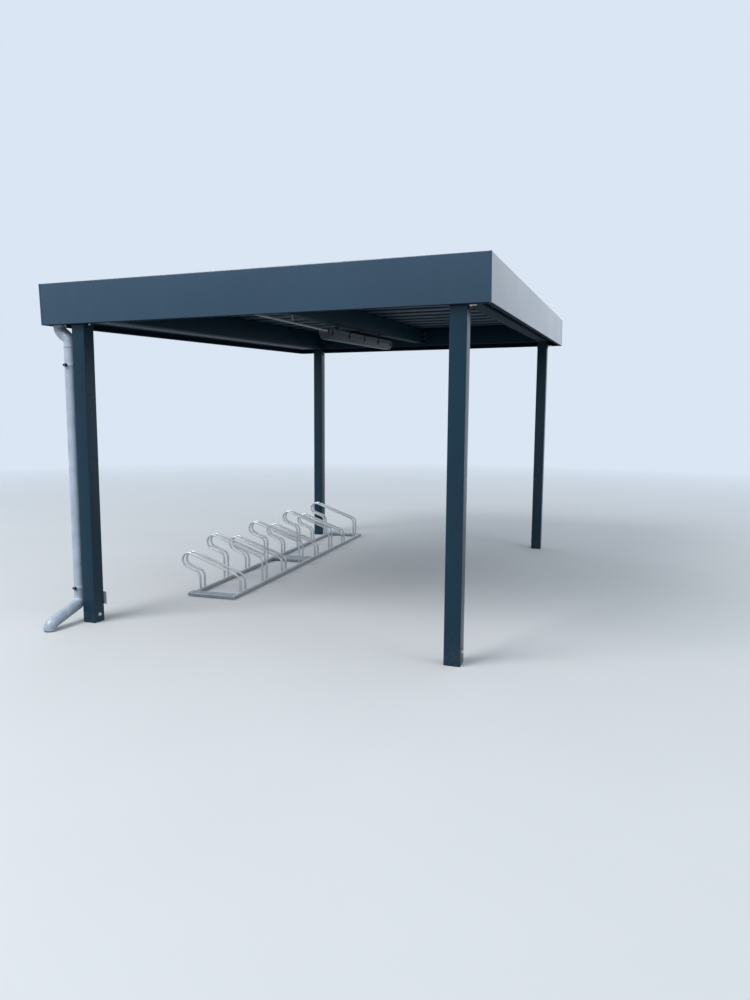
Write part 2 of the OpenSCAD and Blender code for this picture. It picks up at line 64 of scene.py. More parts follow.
ALONG_X = Matrix(((0, 0, 1, 0), (1, 0, 0, 0), (0, 1, 0, 0), (0, 0, 0, 1)))
# A height above every part of the shelter.
ABOVE_ALL = 10.0
# The least cosine between a face and a way at which the face counts as turned that way.
TURNED_AWAY = 0.3
# A turn, in radians, that is too small to round, and a distance too small to keep.
STRAIGHT = 1e-4
TOUCHING = 1e-6
# The stretch of a cloudy noise over which a finish's sheen varies.
SHEEN_BAND = (0.3, 0.7)
Outline = list[tuple[float, float]]
Colour = tuple[float, float, float]
Level = float | Callable[[float, float], float]
Socket = bpy.types.NodeSocket


class Slot(Enum):
    """The record's material slots."""

    FRAME_PAINT = "frame_paint"
    ROOF_SHEET = "roof_sheet"
    ZINC = "zinc"
    LAMP_HOUSING = "lamp_housing"
    LATCH = "latch"
    CONDUIT = "conduit"
    GALVANISED = "galvanised"


class Head(Enum):
    """Shapes of a fastener's head, each with its height as a share of its width."""

    HEX = 0.62
    PAN = 0.35


@dataclass(frozen=True)
class Fastener:
    """A bolt, screw or rivet: its head's width and shape, and its washer's radius or 0 for none."""

    across: float
    washer: float = 0.0
    head: Head = Head.HEX


@dataclass(frozen=True)
class Cloud:
    """A cloudy noise: its clouds to a metre, its finer layers, and the band of it that is used."""

    scale: float
    detail: float
    low: float = 0.3
    high: float = 0.7
    stretch: tuple[float, float, float] = (1.0, 1.0, 1.0)


class Wiring:
    """Adds the nodes of one finish and wires them to its shader."""

    def __init__(self, name: str) -> None:
        """Starts an empty material.

        Args:
            name: The material's name.
        """
        self.material = bpy.data.materials.new(name)
        self.material.use_nodes = True
        self.nodes = self.material.node_tree.nodes
        self.links = self.material.node_tree.links
        self.shader = self.nodes["Principled BSDF"]
        self.made: dict[Cloud, Socket] = {}

    def spot(self, stretch: Sequence[float] = (1, 1, 1)) -> Socket:
        """Gives the place on the shelter, stretched along each axis.

        Args:
            stretch: The scale along X, Y and Z.

        Returns:
            The vector socket.
        """
        source = self.nodes.new("ShaderNodeTexCoord")
        mapping = self.nodes.new("ShaderNodeMapping")
        mapping.inputs["Scale"].default_value = stretch
        self.links.new(source.outputs["Object"], mapping.inputs["Vector"])
        return mapping.outputs["Vector"]

    def noise(self, cloud: Cloud) -> Socket:
        """Gives a cloudy noise, made once.

        Args:
            cloud: The noise.

        Returns:
            A value socket around 0.5.
        """
        if cloud not in self.made:
            node = self.nodes.new("ShaderNodeTexNoise")
            node.inputs["Scale"].default_value = cloud.scale
            node.inputs["Detail"].default_value = cloud.detail
            self.links.new(self.spot(cloud.stretch), node.inputs["Vector"])
            self.made[cloud] = node.outputs["Fac"]
        return self.made[cloud]

    def band(self, cloud: Cloud, least: float = 0.0, most: float = 1.0) -> Socket:
        """Spreads a cloudy noise's band between two values."""
        return self.span(self.noise(cloud), cloud.low, cloud.high, least, most)

    def grains(self, scale: float) -> Socket:
        """Adds flat grains, each with a value of its own.

        Args:
            scale: How many grains there are to a metre.

        Returns:
            A value socket from 0 to 1.
        """
        node = self.nodes.new("ShaderNodeTexVoronoi")
        node.inputs["Scale"].default_value = scale
        self.links.new(self.spot(), node.inputs["Vector"])
        parts = self.nodes.new("ShaderNodeSeparateColor")
        self.links.new(node.outputs["Color"], parts.inputs["Color"])
        return parts.outputs["Red"]

    def upright_part(self, vector: Socket) -> Socket:
        """Takes the part of a vector along Z.

        Args:
            vector: The vector's socket.

        Returns:
            The part's socket.
        """
        parts = self.nodes.new("ShaderNodeSeparateXYZ")
        self.links.new(vector, parts.inputs["Vector"])
        return parts.outputs["Z"]

    def height(self) -> Socket:
        """Gives the height above the ground, in metres."""
        return self.upright_part(self.spot())

    def upward(self) -> Socket:
        """Gives how far a face looks up, from -1 to 1."""
        return self.upright_part(self.nodes.new("ShaderNodeNewGeometry").outputs["Normal"])

    def span(self, value: Socket, low: float, high: float, first: float, last: float) -> Socket:
        """Maps a stretch of values to another, and holds it at both ends.

        Args:
            value: What is mapped.
            low: The value that gives first.
            high: The value that gives last.
            first: The result at low.
            last: The result at high.

        Returns:
            The mapped value's socket.
        """
        node = self.nodes.new("ShaderNodeMapRange")
        self.links.new(value, node.inputs["Value"])
        ends = {"From Min": low, "From Max": high, "To Min": first, "To Max": last}
        for name, number in ends.items():
            node.inputs[name].default_value = number
        return node.outputs["Result"]

    def times(self, first: Socket, second: Socket) -> Socket:
        """Multiplies two values.

        Args:
            first: One value.
            second: The other value.

        Returns:
            The product's socket.
        """
        node = self.nodes.new("ShaderNodeMath")
        node.operation = "MULTIPLY"
        for place, value in enumerate((first, second)):
            self.links.new(value, node.inputs[place])
        return node.outputs[0]

    def near_ground(self, top: float, most: float, least: float, specks: Socket) -> Socket:
        """Gives how much soil the rain splashes on, most at the ground and least from a height up."""
        return self.times(self.span(self.height(), 0.0, top, most, least), specks)

    def coat(self, share: Socket, under: Socket | Colour, over: Socket | Colour) -> Socket:
        """Lays one colour over another.

        Args:
            share: How much of the upper colour covers the lower.
            under: The lower colour.
            over: The upper colour.

        Returns:
            The mixed colour's socket.
        """
        node = self.nodes.new("ShaderNodeMix")
        node.data_type = "RGBA"
        self.links.new(share, node.inputs[0])
        for place, colour in ((6, under), (7, over)):
            if isinstance(colour, tuple):
                node.inputs[place].default_value = (*colour, 1.0)
            else:
                self.links.new(colour, node.inputs[place])
        return node.outputs[2]

    def relief(self, value: Socket, depth: float, strength: float) -> None:
        """Roughens the surface a little.

        Args:
            value: The height of the relief, from 0 to 1.
            depth: The relief's depth in metres.
            strength: How strongly it shows.
        """
        node = self.nodes.new("ShaderNodeBump")
        node.inputs["Distance"].default_value = depth
        node.inputs["Strength"].default_value = strength
        self.links.new(value, node.inputs["Height"])
        self.links.new(node.outputs["Normal"], self.shader.inputs["Normal"])

    def wire(self, **sockets: Socket | float) -> bpy.types.Material:
        """Sets the shader's own sockets.

        Args:
            **sockets: A socket or a number for each input, its name in small letters with _ for spaces.

        Returns:
            The finished material.
        """
        for name, value in sockets.items():
            target = next(
                s for s in self.shader.inputs if s.name.lower().replace(" ", "_") == name
            )
            if isinstance(value, (int, float)):
                target.default_value = value
            else:
                self.links.new(value, target)
        return self.material


def shade(colour: Colour, factor: float) -> Colour:
    """Gives a colour made lighter or darker.

    Args:
        colour: The colour as light reflects it.
        factor: 1 keeps it, less darkens it.

    Returns:
        The new colour.
    """
    return tuple(min(1.0, part * factor) for part in colour)


@dataclass(frozen=True)
class Finish:
    """What every finish has: a name, a slot, a colour and a sheen."""

    name: str
    slot: Slot
    colour: Colour
    roughness: float

    def mix(self) -> bpy.types.Material:
        """Makes the finish's material."""
        raise NotImplementedError

    def sheen(self, w: Wiring, cloud: Cloud, less: float, more: float) -> Socket:
        """Varies the roughness from place to place with a cloudy noise."""
        return w.span(w.noise(cloud), *SHEEN_BAND, self.roughness - less, self.roughness + more)

    def material(self) -> bpy.types.Material:
        """Gives the finish's material, made once."""
        return bpy.data.materials.get(self.name) or self.mix()


@dataclass(frozen=True)
class PowderCoat(Finish):
    """Semi-gloss paint, with faint streaks, splashes near the ground and dust on top."""

    dust: Colour = (0.23, 0.24, 0.24)
    film: float = 0.02
    splash: float = 0.12
    splash_high: float = 0.22
    roof_dust: float = 0.3
    gloss: float = 0.5
    lacquer: float = 0.0
    mottle: Cloud = Cloud(1.6, 4, 0.35, 0.65)
    streaks: Cloud = Cloud(14, 5, 0.48, 0.8, (1, 1, 0.06))
    specks: Cloud = Cloud(55, 6, 0.42, 0.62)
    settled: Cloud = Cloud(7, 6)
    grain: Cloud = Cloud(420, 2)

    def mix(self) -> bpy.types.Material:
        """Makes the paint.

        Returns:
            The material.
        """
        w = Wiring(self.name)
        paint = w.coat(w.band(self.mottle), shade(self.colour, 0.93), shade(self.colour, 1.08))
        filmed = w.coat(w.band(self.streaks, 0.0, self.film), paint, self.dust)
        low = w.near_ground(self.splash_high, self.splash, 0.0, w.band(self.specks, 0.1))
        splashed = w.coat(low, filmed, self.dust)
        on_top = w.span(w.upward(), 0.6, 0.95, 0, self.roof_dust)
        dusted = w.coat(w.times(on_top, w.band(self.settled, 0.3)), splashed, self.dust)
        w.relief(w.noise(self.grain), 0.0003, 0.04)
        return w.wire(
            base_color=dusted,
            roughness=self.sheen(w, self.mottle, 0.03, 0.04),
            specular_ior_level=self.gloss,
            coat_weight=self.lacquer,
            coat_roughness=0.1,
        )


@dataclass(frozen=True)
class HotDipZinc(Finish):
    """Hot-dip galvanised steel, with faint spangles, dull clouds, and painted highlights on its upper
    edges and on faces that look up.
    """

    spangles: float = 95.0
    bloom: Colour = (0.6, 0.62, 0.63)
    blooming: float = 0.2
    # crest: how far faces that look up turn to highlight_colour, a painted highlight.
    crest: float = 0.0
    highlight_colour: Colour = (0.9, 0.93, 0.96)
    # rim: the height above which the colour turns to highlight_colour, a painted glint along upper edges;
    # ABOVE_ALL gives none.
    rim: float = ABOVE_ALL
    rim_highlight_fade: float = 0.004
    rim_highlight: float = 0.85
    soil: Colour = (0.16, 0.145, 0.125)
    soil_high: float = 0.1
    soiling: float = 0.35
    metallic: float = 0.8
    patches: Cloud = Cloud(12, 4, 0.45, 0.75)
    stains: Cloud = Cloud(60, 4, 0.4, 0.7)

    def mix(self) -> bpy.types.Material:
        """Makes the galvanised surface.

        Returns:
            The material.
        """
        w = Wiring(self.name)
        grain = w.grains(self.spangles)
        zinc = w.coat(grain, shade(self.colour, 0.98), shade(self.colour, 1.02))
        bloomed = w.coat(w.band(self.patches, 0, self.blooming), zinc, self.bloom)
        low = w.near_ground(self.soil_high, self.soiling, 0.03, w.band(self.stains, 0.1))
        soiled = w.coat(low, bloomed, self.soil)
        # Painted highlights: the band above the rim height and the faces that look up turn towards
        # highlight_colour.
        rim = w.span(w.height(), self.rim - self.rim_highlight_fade, self.rim, 0, self.rim_highlight)
        rim_highlighted = w.coat(rim, soiled, self.highlight_colour)
        colour = w.coat(w.span(w.upward(), 0.4, 0.9, 0, self.crest), rim_highlighted, self.highlight_colour)
        rough = w.span(grain, 0, 1, self.roughness - 0.02, self.roughness + 0.03)
        return w.wire(base_color=colour, roughness=rough, metallic=self.metallic)


@dataclass(frozen=True)
class RolledZinc(Finish):
    """Weathered zinc sheet, smooth, with soft clouds and water runs down the pipe."""

    patina: Colour = (0.62, 0.71, 0.84)
    soil: Colour = (0.2, 0.18, 0.16)
    soil_high: float = 0.3
    soiling: float = 0.35
    metallic: float = 0.15
    mottle: Cloud = Cloud(9, 5, 0.32, 0.68)
    runs: Cloud = Cloud(42, 4, 0.52, 0.74, (1, 1, 0.05))
    stains: Cloud = Cloud(50, 5, 0.45, 0.65)
    dents: Cloud = Cloud(70, 3)

    def mix(self) -> bpy.types.Material:
        """Makes the zinc surface.

        Returns:
            The material.
        """
        w = Wiring(self.name)
        zinc = w.coat(w.band(self.mottle), shade(self.colour, 0.88), self.patina)
        streaked = w.coat(w.band(self.runs, 0, 0.22), zinc, shade(self.colour, 0.7))
        low = w.near_ground(self.soil_high, self.soiling, 0.0, w.band(self.stains, 0.1))
        colour = w.coat(low, streaked, self.soil)
        w.relief(w.noise(self.dents), 0.0005, 0.05)
        rough = self.sheen(w, self.mottle, 0.05, 0.1)
        return w.wire(base_color=colour, roughness=rough, metallic=self.metallic)


@dataclass(frozen=True)
class Plastic(Finish):
    """Moulded plastic, a little uneven and dusty on top."""

    grime: Colour = (0.2, 0.2, 0.19)
    soiling: float = 0.2
    gloss: float = 0.5
    mottle: Cloud = Cloud(12, 4, 0.35, 0.65)
    smears: Cloud = Cloud(38, 5, 0.55, 0.8)
    grain: Cloud = Cloud(600, 2)

    def mix(self) -> bpy.types.Material:
        """Makes the plastic.

        Returns:
            The material.
        """
        w = Wiring(self.name)
        base = w.coat(w.band(self.mottle), shade(self.colour, 0.94), shade(self.colour, 1.05))
        colour = w.coat(w.band(self.smears, 0, self.soiling), base, self.grime)
        w.relief(w.noise(self.grain), 0.0003, 0.1)
        rough = self.sheen(w, self.mottle, 0.05, 0.05)
        return w.wire(base_color=colour, roughness=rough, specular_ior_level=self.gloss)


@dataclass(frozen=True)
class BoltSteel(Finish):
    """Bright zinc-plated steel of bolts and screws, dulled in places."""

    metallic: float = 0.9
    wear: Cloud = Cloud(180, 4, 0.4, 0.7)

    def mix(self) -> bpy.types.Material:
        """Makes the plated steel.

        Returns:
            The material.
        """
        w = Wiring(self.name)
        colour = w.coat(w.band(self.wear), shade(self.colour, 1.08), shade(self.colour, 0.7))
        w.relief(w.noise(self.wear), 0.0003, 0.15)
        rough = self.sheen(w, self.wear, 0.06, 0.16)
        return w.wire(base_color=colour, roughness=rough, metallic=self.metallic)


FRAME_PAINT = PowderCoat(
    "anthracite_powder_coat", Slot.FRAME_PAINT, (0.0045, 0.036, 0.066), 0.28, gloss=0.28
)
BEAM_PAINT = PowderCoat(
    "anthracite_satin_coat", Slot.FRAME_PAINT, (0.0045, 0.029, 0.05), 0.45, gloss=0.1
)
# Undersides and the fascia's inner faces: a duller copy of the paint, darker as a painted shade.
BEAM_UNDER_SHADED = PowderCoat(
    "anthracite_dull_underside", Slot.FRAME_PAINT, (0.008, 0.024, 0.037), 0.8, gloss=0.1
)
TRIM_PAINT = PowderCoat(
    "anthracite_coated_sheet", Slot.FRAME_PAINT, (0.009, 0.058, 0.115), 0.19, lacquer=0.45
)
SHEET_PAINT = PowderCoat(
    "anthracite_roof_sheet", Slot.ROOF_SHEET, (0.014, 0.026, 0.037), 0.5, roof_dust=0.5, gloss=0.25
)
# The sheets' undersides: a lighter copy of the sheet paint, painted light in the roof's shade.
SHEET_UNDER_LIFTED = PowderCoat(
    "roof_sheet_back_coat", Slot.ROOF_SHEET, (0.026, 0.052, 0.08), 0.6, gloss=0.1
)
# crest paints a highlight on faces that look up; on the rails, rim also paints a bright glint along their
# top edges.
HOOP_ZINC = HotDipZinc("zinc_on_tube", Slot.GALVANISED, (0.6, 0.63, 0.67), 0.32, crest=0.5, metallic=0.65)
RAIL_ZINC = HotDipZinc(
    "zinc_on_angles", Slot.GALVANISED, (0.58, 0.61, 0.66), 0.42, crest=0.9, rim=0.027, metallic=0.3
)
# The plates' zinc is a darker copy: a painted dark reflection of the ground beneath them.
PLATE_ZINC_SHADED = HotDipZinc("zinc_on_plates", Slot.GALVANISED, (0.26, 0.31, 0.36), 0.42, metallic=0.5)
# crest paints a highlight on the upper faces of the weld beads.
WELD_ZINC = HotDipZinc(
    "zinc_over_welds", Slot.GALVANISED, (0.46, 0.48, 0.5), 0.45, spangles=240, crest=0.4
)
PALE_ZINC = HotDipZinc("pale_zinc_strip", Slot.GALVANISED, (0.6, 0.62, 0.63), 0.5, metallic=0.2)
ZINC_SHEET = RolledZinc("weathered_zinc_sheet", Slot.ZINC, (0.5, 0.59, 0.72), 0.45)
# A dark line at each pipe joint: grime, and a painted shadow of the gap under the socket's mouth.
JOINT_SHADE_AND_GRIME = RolledZinc(
    "grime_in_joints", Slot.ZINC, (0.06, 0.065, 0.07), 0.6, patina=(0.09, 0.095, 0.1)
)
LAMP_GREY = Plastic("lamp_housing_grey", Slot.LAMP_HOUSING, (0.32, 0.37, 0.42), 0.5, gloss=0.2)
# The milky cover is darkened to a grey: painted shade under the roof.
LAMP_MILKY_SHADED = Plastic(
    "lamp_cover_milky", Slot.LAMP_HOUSING, (0.115, 0.14, 0.16), 0.5, soiling=0.1, gloss=0.1
)
LATCH_GREY = Plastic("latch_dark_grey", Slot.LATCH, (0.01, 0.012, 0.014), 0.5, gloss=0.15)
CONDUIT_GREY = Plastic("conduit_grey", Slot.CONDUIT, (0.52, 0.56, 0.57), 0.45)
SEAL_BLACK = Plastic("seal_rubber", Slot.LATCH, (0.02, 0.02, 0.021), 0.7)
BOLT_ZINC = BoltSteel("bright_bolt_zinc", Slot.GALVANISED, (0.8, 0.81, 0.8), 0.26)
# A dark copy of the bolt steel: painted shade for bolts on shaded sides and under the roof.
SHADED_BOLT = BoltSteel("dark_bolt_steel", Slot.FRAME_PAINT, (0.09, 0.1, 0.11), 0.4)


def rounded_box_outline(width: float, depth: float, radius: float, steps: int = 5) -> Outline:
    """Draws a rectangle with rounded corners, centred.

    Args:
        width: The size along the first axis.
        depth: The size along the second axis.
        radius: The corners' radius.
        steps: How many segments each corner has.

    Returns:
        The outline's points, anticlockwise.
    """
    points = []
    for corner, (side_x, side_y) in enumerate(((1, 1), (-1, 1), (-1, -1), (1, -1))):
        for step in range(steps + 1):
            angle = math.radians(90) * (corner + step / steps)
            points.append(
                (
                    side_x * (width / 2 - radius) + radius * math.cos(angle),
                    side_y * (depth / 2 - radius) + radius * math.sin(angle),
                )
            )
    return points


def circle_outline(radius: float, sides: int) -> Outline:
    """Draws a circle, centred.

    Args:
        radius: The circle's radius.
        sides: How many points it has.

    Returns:
        The outline's points.
    """
    turns = [math.tau * side / sides for side in range(sides)]
    return [(radius * math.cos(turn), radius * math.sin(turn)) for turn in turns]


def bent_path(
    corners: Sequence[Vector], radii: float | Sequence[float], step: float = math.radians(8)
) -> list[Vector]:
    """Rounds the corners of a line as a bending machine does.

    Args:
        corners: The line's ends and the points where its straight runs meet.
        radii: The bend radius at each inner corner, or one for all.
        step: The angle of each segment of a bend.

    Returns:
        The points along the bent line.
    """
    inner = len(corners) - 2
    each = [radii] * inner if isinstance(radii, (int, float)) else list(radii)
    path = [corners[0].copy()]
    for before, corner, after, radius in zip(corners, corners[1:], corners[2:], each):
        into = (corner - before).normalized()
        out = (after - corner).normalized()
        turn = into.angle(out)
        if turn < STRAIGHT:
            continue
        start = corner - into * radius * math.tan(turn / 2)
        inward = (out - into * into.dot(out)).normalized()
        segments = max(2, math.ceil(turn / step))
        for segment in range(segments + 1):
            angle = turn * segment / segments
            path.append(
                start + into * radius * math.sin(angle) + inward * radius * (1 - math.cos(angle))
            )
    path.append(corners[-1].copy())
    kept = [path[0]]
    for point in path[1:]:
        if (point - kept[-1]).length > TOUCHING:
            kept.append(point)
    return kept


def heading(path: Sequence[Vector], index: int) -> Vector:
    """Gives the way that a line runs at one of its points.

    Args:
        path: The line's points.
        index: The point's number in it.

    Returns:
        The direction from the point before it to the point after it.
    """
    return (path[min(index + 1, len(path) - 1)] - path[max(index - 1, 0)]).normalized()


def folded_outline(corners: Outline, thickness: float, radius: float) -> Outline:
    """Draws the cross-section of a sheet that is folded along a line.

    Args:
        corners: The middle line's ends and folds.
        thickness: The sheet's thickness.
        radius: The radius of the folds on the middle line.

    Returns:
        The closed outline.
    """
    path = bent_path([Vector((x, y, 0)) for x, y in corners], radius, math.radians(22.5))
    left, right = [], []
    for index, point in enumerate(path):
        along = heading(path, index)
        aside = Vector((-along.y, along.x, 0)) * thickness / 2
        left.append((point.x + aside.x, point.y + aside.y))
        right.append((point.x - aside.x, point.y - aside.y))
    return left + right[::-1]


def facing(direction: Vector) -> Matrix:
    """Gives the turn that points +Z along a direction.

    Args:
        direction: Where +Z goes.

    Returns:
        A 4x4 rotation.
    """
    return direction.to_track_quat("Z", "Y").to_matrix().to_4x4()


class Blank:
    """A piece in the making: its mesh is formed in a local frame and then joins the shelter."""

    def __init__(self, name: str, place: Matrix | None = None) -> None:
        """Starts an empty piece.

        Args:
            name: The piece's name.
            place: The local frame, or none for the shelter's own.
        """
        self.name = name
        self.place = place or Matrix.Identity(4)
        self.mesh = bmesh.new()

    def skin(
        self, rings: Sequence[Iterable[Sequence[float]]], loop: bool = False, capped: bool = False
    ) -> list[list[bmesh.types.BMVert]]:
        """Joins outlines of as many points each, one after another.

        Args:
            rings: The outlines' points in space.
            loop: Whether the last outline joins the first.
            capped: Whether the first and last outlines are closed.

        Returns:
            The mesh's points, a row for each outline.
        """
        rows = [[self.mesh.verts.new(point) for point in ring] for ring in rings]
        following = rows[1:] + (rows[:1] if loop else [])
        for first, second in zip(rows, following):
            for index in range(len(first)):
                after = (index + 1) % len(first)
                self.mesh.faces.new((first[index], first[after], second[after], second[index]))
        if capped:
            self.mesh.faces.new(rows[0][::-1])
            self.mesh.faces.new(rows[-1])
        return rows

    def stack(
        self, outlines: Sequence[tuple[Outline, Level]], frame_of: Matrix, loop: bool = False
    ) -> None:
        """Joins outlines at their levels along a frame's +Z: in a loop, or closed at both ends.

        Args:
            outlines: Each outline in the frame's X and Y, with its level or a function of the point.
            frame_of: The frame.
            loop: Whether the last outline joins the first.
        """
        rings = []
        for outline, level in outlines:
            points = [(x, y, level(x, y) if callable(level) else level) for x, y in outline]
            rings.append([frame_of @ Vector(point) for point in points])
        self.skin(rings, loop, capped=not loop)

    def prism(self, outline: Outline, frame_of: Matrix, start: Level, end: Level) -> None:
        """Extrudes an outline along a frame's +Z, from one level to another."""
        self.stack([(outline, start), (outline, end)], frame_of)

    def hollow(
        self, outer: Outline, inner: Outline, frame_of: Matrix, start: Level, end: Level
    ) -> None:
        """Extrudes a tube's section of an outer and an inner outline, open at both ends."""
        walls = [(outer, start), (outer, end), (inner, end), (inner, start)]
        self.stack(walls, frame_of, loop=True)

    def tube(self, path: Sequence[Vector], radius: float, wall: float, sides: int) -> None:
        """Draws a round tube along a line, open at both ends.

        Args:
            path: The points along its middle.
            radius: Its outer radius.
            wall: Its wall.
            sides: How many sides it has.
        """
        outer: list[list[Vector]] = []
        inner: list[list[Vector]] = []
        aside = heading(path, 0).orthogonal().normalized()
        for index, point in enumerate(path):
            along = heading(path, index)
            aside = (aside - along * aside.dot(along)).normalized()
            other = along.cross(aside)
            spokes = [aside * x + other * y for x, y in circle_outline(1.0, sides)]
            outer.append([point + spoke * radius for spoke in spokes])
            inner.append([point + spoke * (radius - wall) for spoke in spokes])
        self.skin(outer + inner[::-1], loop=True)

    def turned(self, profile: Outline, frame_of: Matrix, sides: int) -> None:
        """Turns a profile about a frame's Z axis, as on a lathe.

        Args:
            profile: Closed points, each a radius and a height. A first or last radius of 0 makes a pole.
            frame_of: The frame.
            sides: How many sides it has.
        """
        poles = profile[0][0] == 0 and profile[-1][0] == 0
        middle = profile[1:-1] if poles else profile
        rings = [
            [frame_of @ Vector((x, y, height)) for x, y in circle_outline(radius, sides)]
            for radius, height in middle
        ]
        rows = self.skin(rings, loop=not poles)
        if poles:
            for row, (_, height) in ((rows[0], profile[0]), (rows[-1], profile[-1])):
                tip = self.mesh.verts.new(frame_of @ Vector((0, 0, height)))
                for index in range(sides):
                    self.mesh.faces.new((tip, row[index], row[(index + 1) % sides]))

    def block(
        self, low: Sequence[float], high: Sequence[float], edge: float, frame_of: Matrix | None = None
    ) -> None:
        """Adds a block with softened edges.

        Args:
            low: Its lowest corner.
            high: Its highest corner.
            edge: The radius of its edges.
            frame_of: The frame of its corners, or none for the piece's own.
        """
        base = frame_of or Matrix.Identity(4)
        width, depth = high[0] - low[0], high[1] - low[1]
        tall = high[2] - low[2]
        middle = Matrix.Translation(((low[0] + high[0]) / 2, (low[1] + high[1]) / 2, low[2]))
        outlines = []
        for inset, level in ((edge, 0), (0, edge), (0, tall - edge), (edge, tall)):
            corner = max(edge - inset, edge * 0.3)
            outline = rounded_box_outline(width - 2 * inset, depth - 2 * inset, corner, 2)
            outlines.append((outline, level))
        self.stack(outlines, base @ middle)

    def bolt(self, at: Vector, outward: Vector, fastener: Fastener) -> None:
        """Adds a fastener's head with its washer.

        Args:
            at: The point on the surface.
            outward: The way that the head looks.
            fastener: The fastener.
        """
        across, washer = fastener.across, fastener.washer
        seat = Matrix.Translation(at) @ facing(outward)
        thick = across * 0.12 if washer else 0.0
        tall = across * fastener.head.value
        if washer:
            plate = [(0, 0), (washer, 0), (washer, thick * 0.7), (washer * 0.93, thick), (0, thick)]
            self.turned(plate, seat, 20)
        if fastener.head is Head.PAN:
            half = across / 2
            dome = [(half * math.cos(a), thick + tall * math.sin(a)) for a in (0.0, 0.4, 0.8, 1.2)]
            self.turned([(0, thick), *dome, (0, thick + half * 0.68)], seat, 16)
            return
        shape = ((1.0, 0.0), (1.0, 0.85), (0.88, 1.0))
        corner = across / math.sqrt(3)
        flats = [(circle_outline(corner * share, 6), thick + tall * level) for share, level in shape]
        self.stack(flats, seat)

    def join(
        self,
        finish: Finish,
        stands_for: Sequence[str] = (),
        crease: float = 32,
        under: Finish | None = None,
        inward: Vector | None = None,
    ) -> None:
        """Makes the mesh a piece of the shelter.

        Args:
            finish: Its finish.
            stands_for: The frame's nodes that it replaces.
            crease: Edges sharper than this many degrees stay sharp.
            under: The finish of the faces that look down, a copy with painted light for their shade, or
                none for the same.
            inward: A direction whose faces take that finish too.
        """
        bmesh.ops.recalc_face_normals(self.mesh, faces=self.mesh.faces)
        self.mesh.transform(self.place)
        self.mesh.normal_update()
        # Faces that look down or the inward way take the under finish, which paints light for their
        # shade.
        shaded_ways = [DOWN] + ([inward] if inward else [])
        for face in self.mesh.faces:
            turned = any(face.normal.dot(way) > TURNED_AWAY for way in shaded_ways)
            face.material_index = int(under is not None and turned)
        data = bpy.data.meshes.new(self.name)
        self.mesh.to_mesh(data)
        self.mesh.free()
        data.polygons.foreach_set("use_smooth", [True] * len(data.polygons))
        data.set_sharp_from_angle(angle=math.radians(crease))
        for coat in (finish, under):
            if coat:
                data.materials.append(coat.material())
        piece = bpy.data.objects.new(self.name, data)
        bpy.context.scene.collection.objects.link(piece)
        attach(piece, "root")
        if stands_for:
            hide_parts(*stands_for)


def dress_nodes(finish: Finish, *names: str) -> None:
    """Gives nodes of the frame their finish.

    Args:
        finish: The finish.
        *names: The nodes' names.
    """
    for name in names:
        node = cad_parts[name]
        node.data.materials.clear()
        node.data.materials.append(finish.material())


def middle_of(node: str) -> Vector:
    """Gives the middle of a node's box.

    Args:
        node: The node's name.

    Returns:
        The point.
    """
    low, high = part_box(node)
    return (low + high) / 2


@dataclass
class Setting:
    """The shelter's shared sizes and its two working frames."""

    eaves: float = 2.060
    rise_rear: float = math.radians(1.66)
    rise_right: float = math.radians(0.5)
    rack_right: float = 0.612
    rack_start: float = 0.840
    rack_turn: float = math.radians(2.0)
    post: float = 0.100
    post_wall: float = 0.004
    beam_low: float = 0.045
    deck_low: float = 0.225
    purlin_low: float = 0.070
    purlin_left: float = 0.065
    over_right: float = 0.190
    over_left: float = 0.262
    over_front: float = 0.090
    over_rear: float = 0.090
    origin: Vector = field(init=False)
    span_x: float = field(init=False)
    span_y: float = field(init=False)
    purlin_x: float = field(init=False)
    roof: Matrix = field(init=False)
    rack: Matrix = field(init=False)

    def __post_init__(self) -> None:
        """Takes the posts' places from the frame."""
        corner = middle_of("post_front_right")
        self.origin = Vector((corner.x, corner.y, 0))
        self.span_x = corner.x - middle_of("post_front_left").x
        self.span_y = middle_of("post_rear_right").y - corner.y
        self.purlin_x = -self.span_x / 2 - self.purlin_left
        plan = Matrix.Translation(self.origin)
        tilt = Matrix.Rotation(-self.rise_right, 4, "Y") @ Matrix.Rotation(self.rise_rear, 4, "X")
        self.roof = plan @ Matrix.Translation((0, 0, self.eaves)) @ tilt
        place = Vector((self.rack_right - self.span_x, self.rack_start, 0))
        self.rack = plan @ Matrix.Translation(place) @ Matrix.Rotation(self.rack_turn, 4, "Z")

    def point(self, x: float, y: float, z: float) -> Vector:
        """Gives a point of the plan, right of and behind the front right post, at a height."""
        return self.origin + Vector((x, y, z))

    def roof_level(self, x: float, y: float, level: float) -> float:
        """Finds how high a plane of the roof's frame lies over a point of the plan.

        Args:
            x: The point's place right of the front right post.
            y: Its place behind that post.
            level: The plane's height in the roof's frame.

        Returns:
            The height above the ground.
        """
        normal = self.roof.to_3x3() @ UP
        on_plane = self.roof @ Vector((0, 0, level))
        at = self.point(x, y, 0)
        return on_plane.z - (normal.x * (at.x - on_plane.x) + normal.y * (at.y - on_plane.y)) / normal.z

    def posts(self) -> dict[str, tuple[float, float]]:
        """Gives the posts' places in the plan.

        Returns:
            Each post's node, with its place right of and behind the front right post.
        """
        return {
            "post_front_left": (-self.span_x, 0.0),
            "post_front_right": (0.0, 0.0),
            "post_rear_left": (-self.span_x, self.span_y),
            "post_rear_right": (0.0, self.span_y),
        }


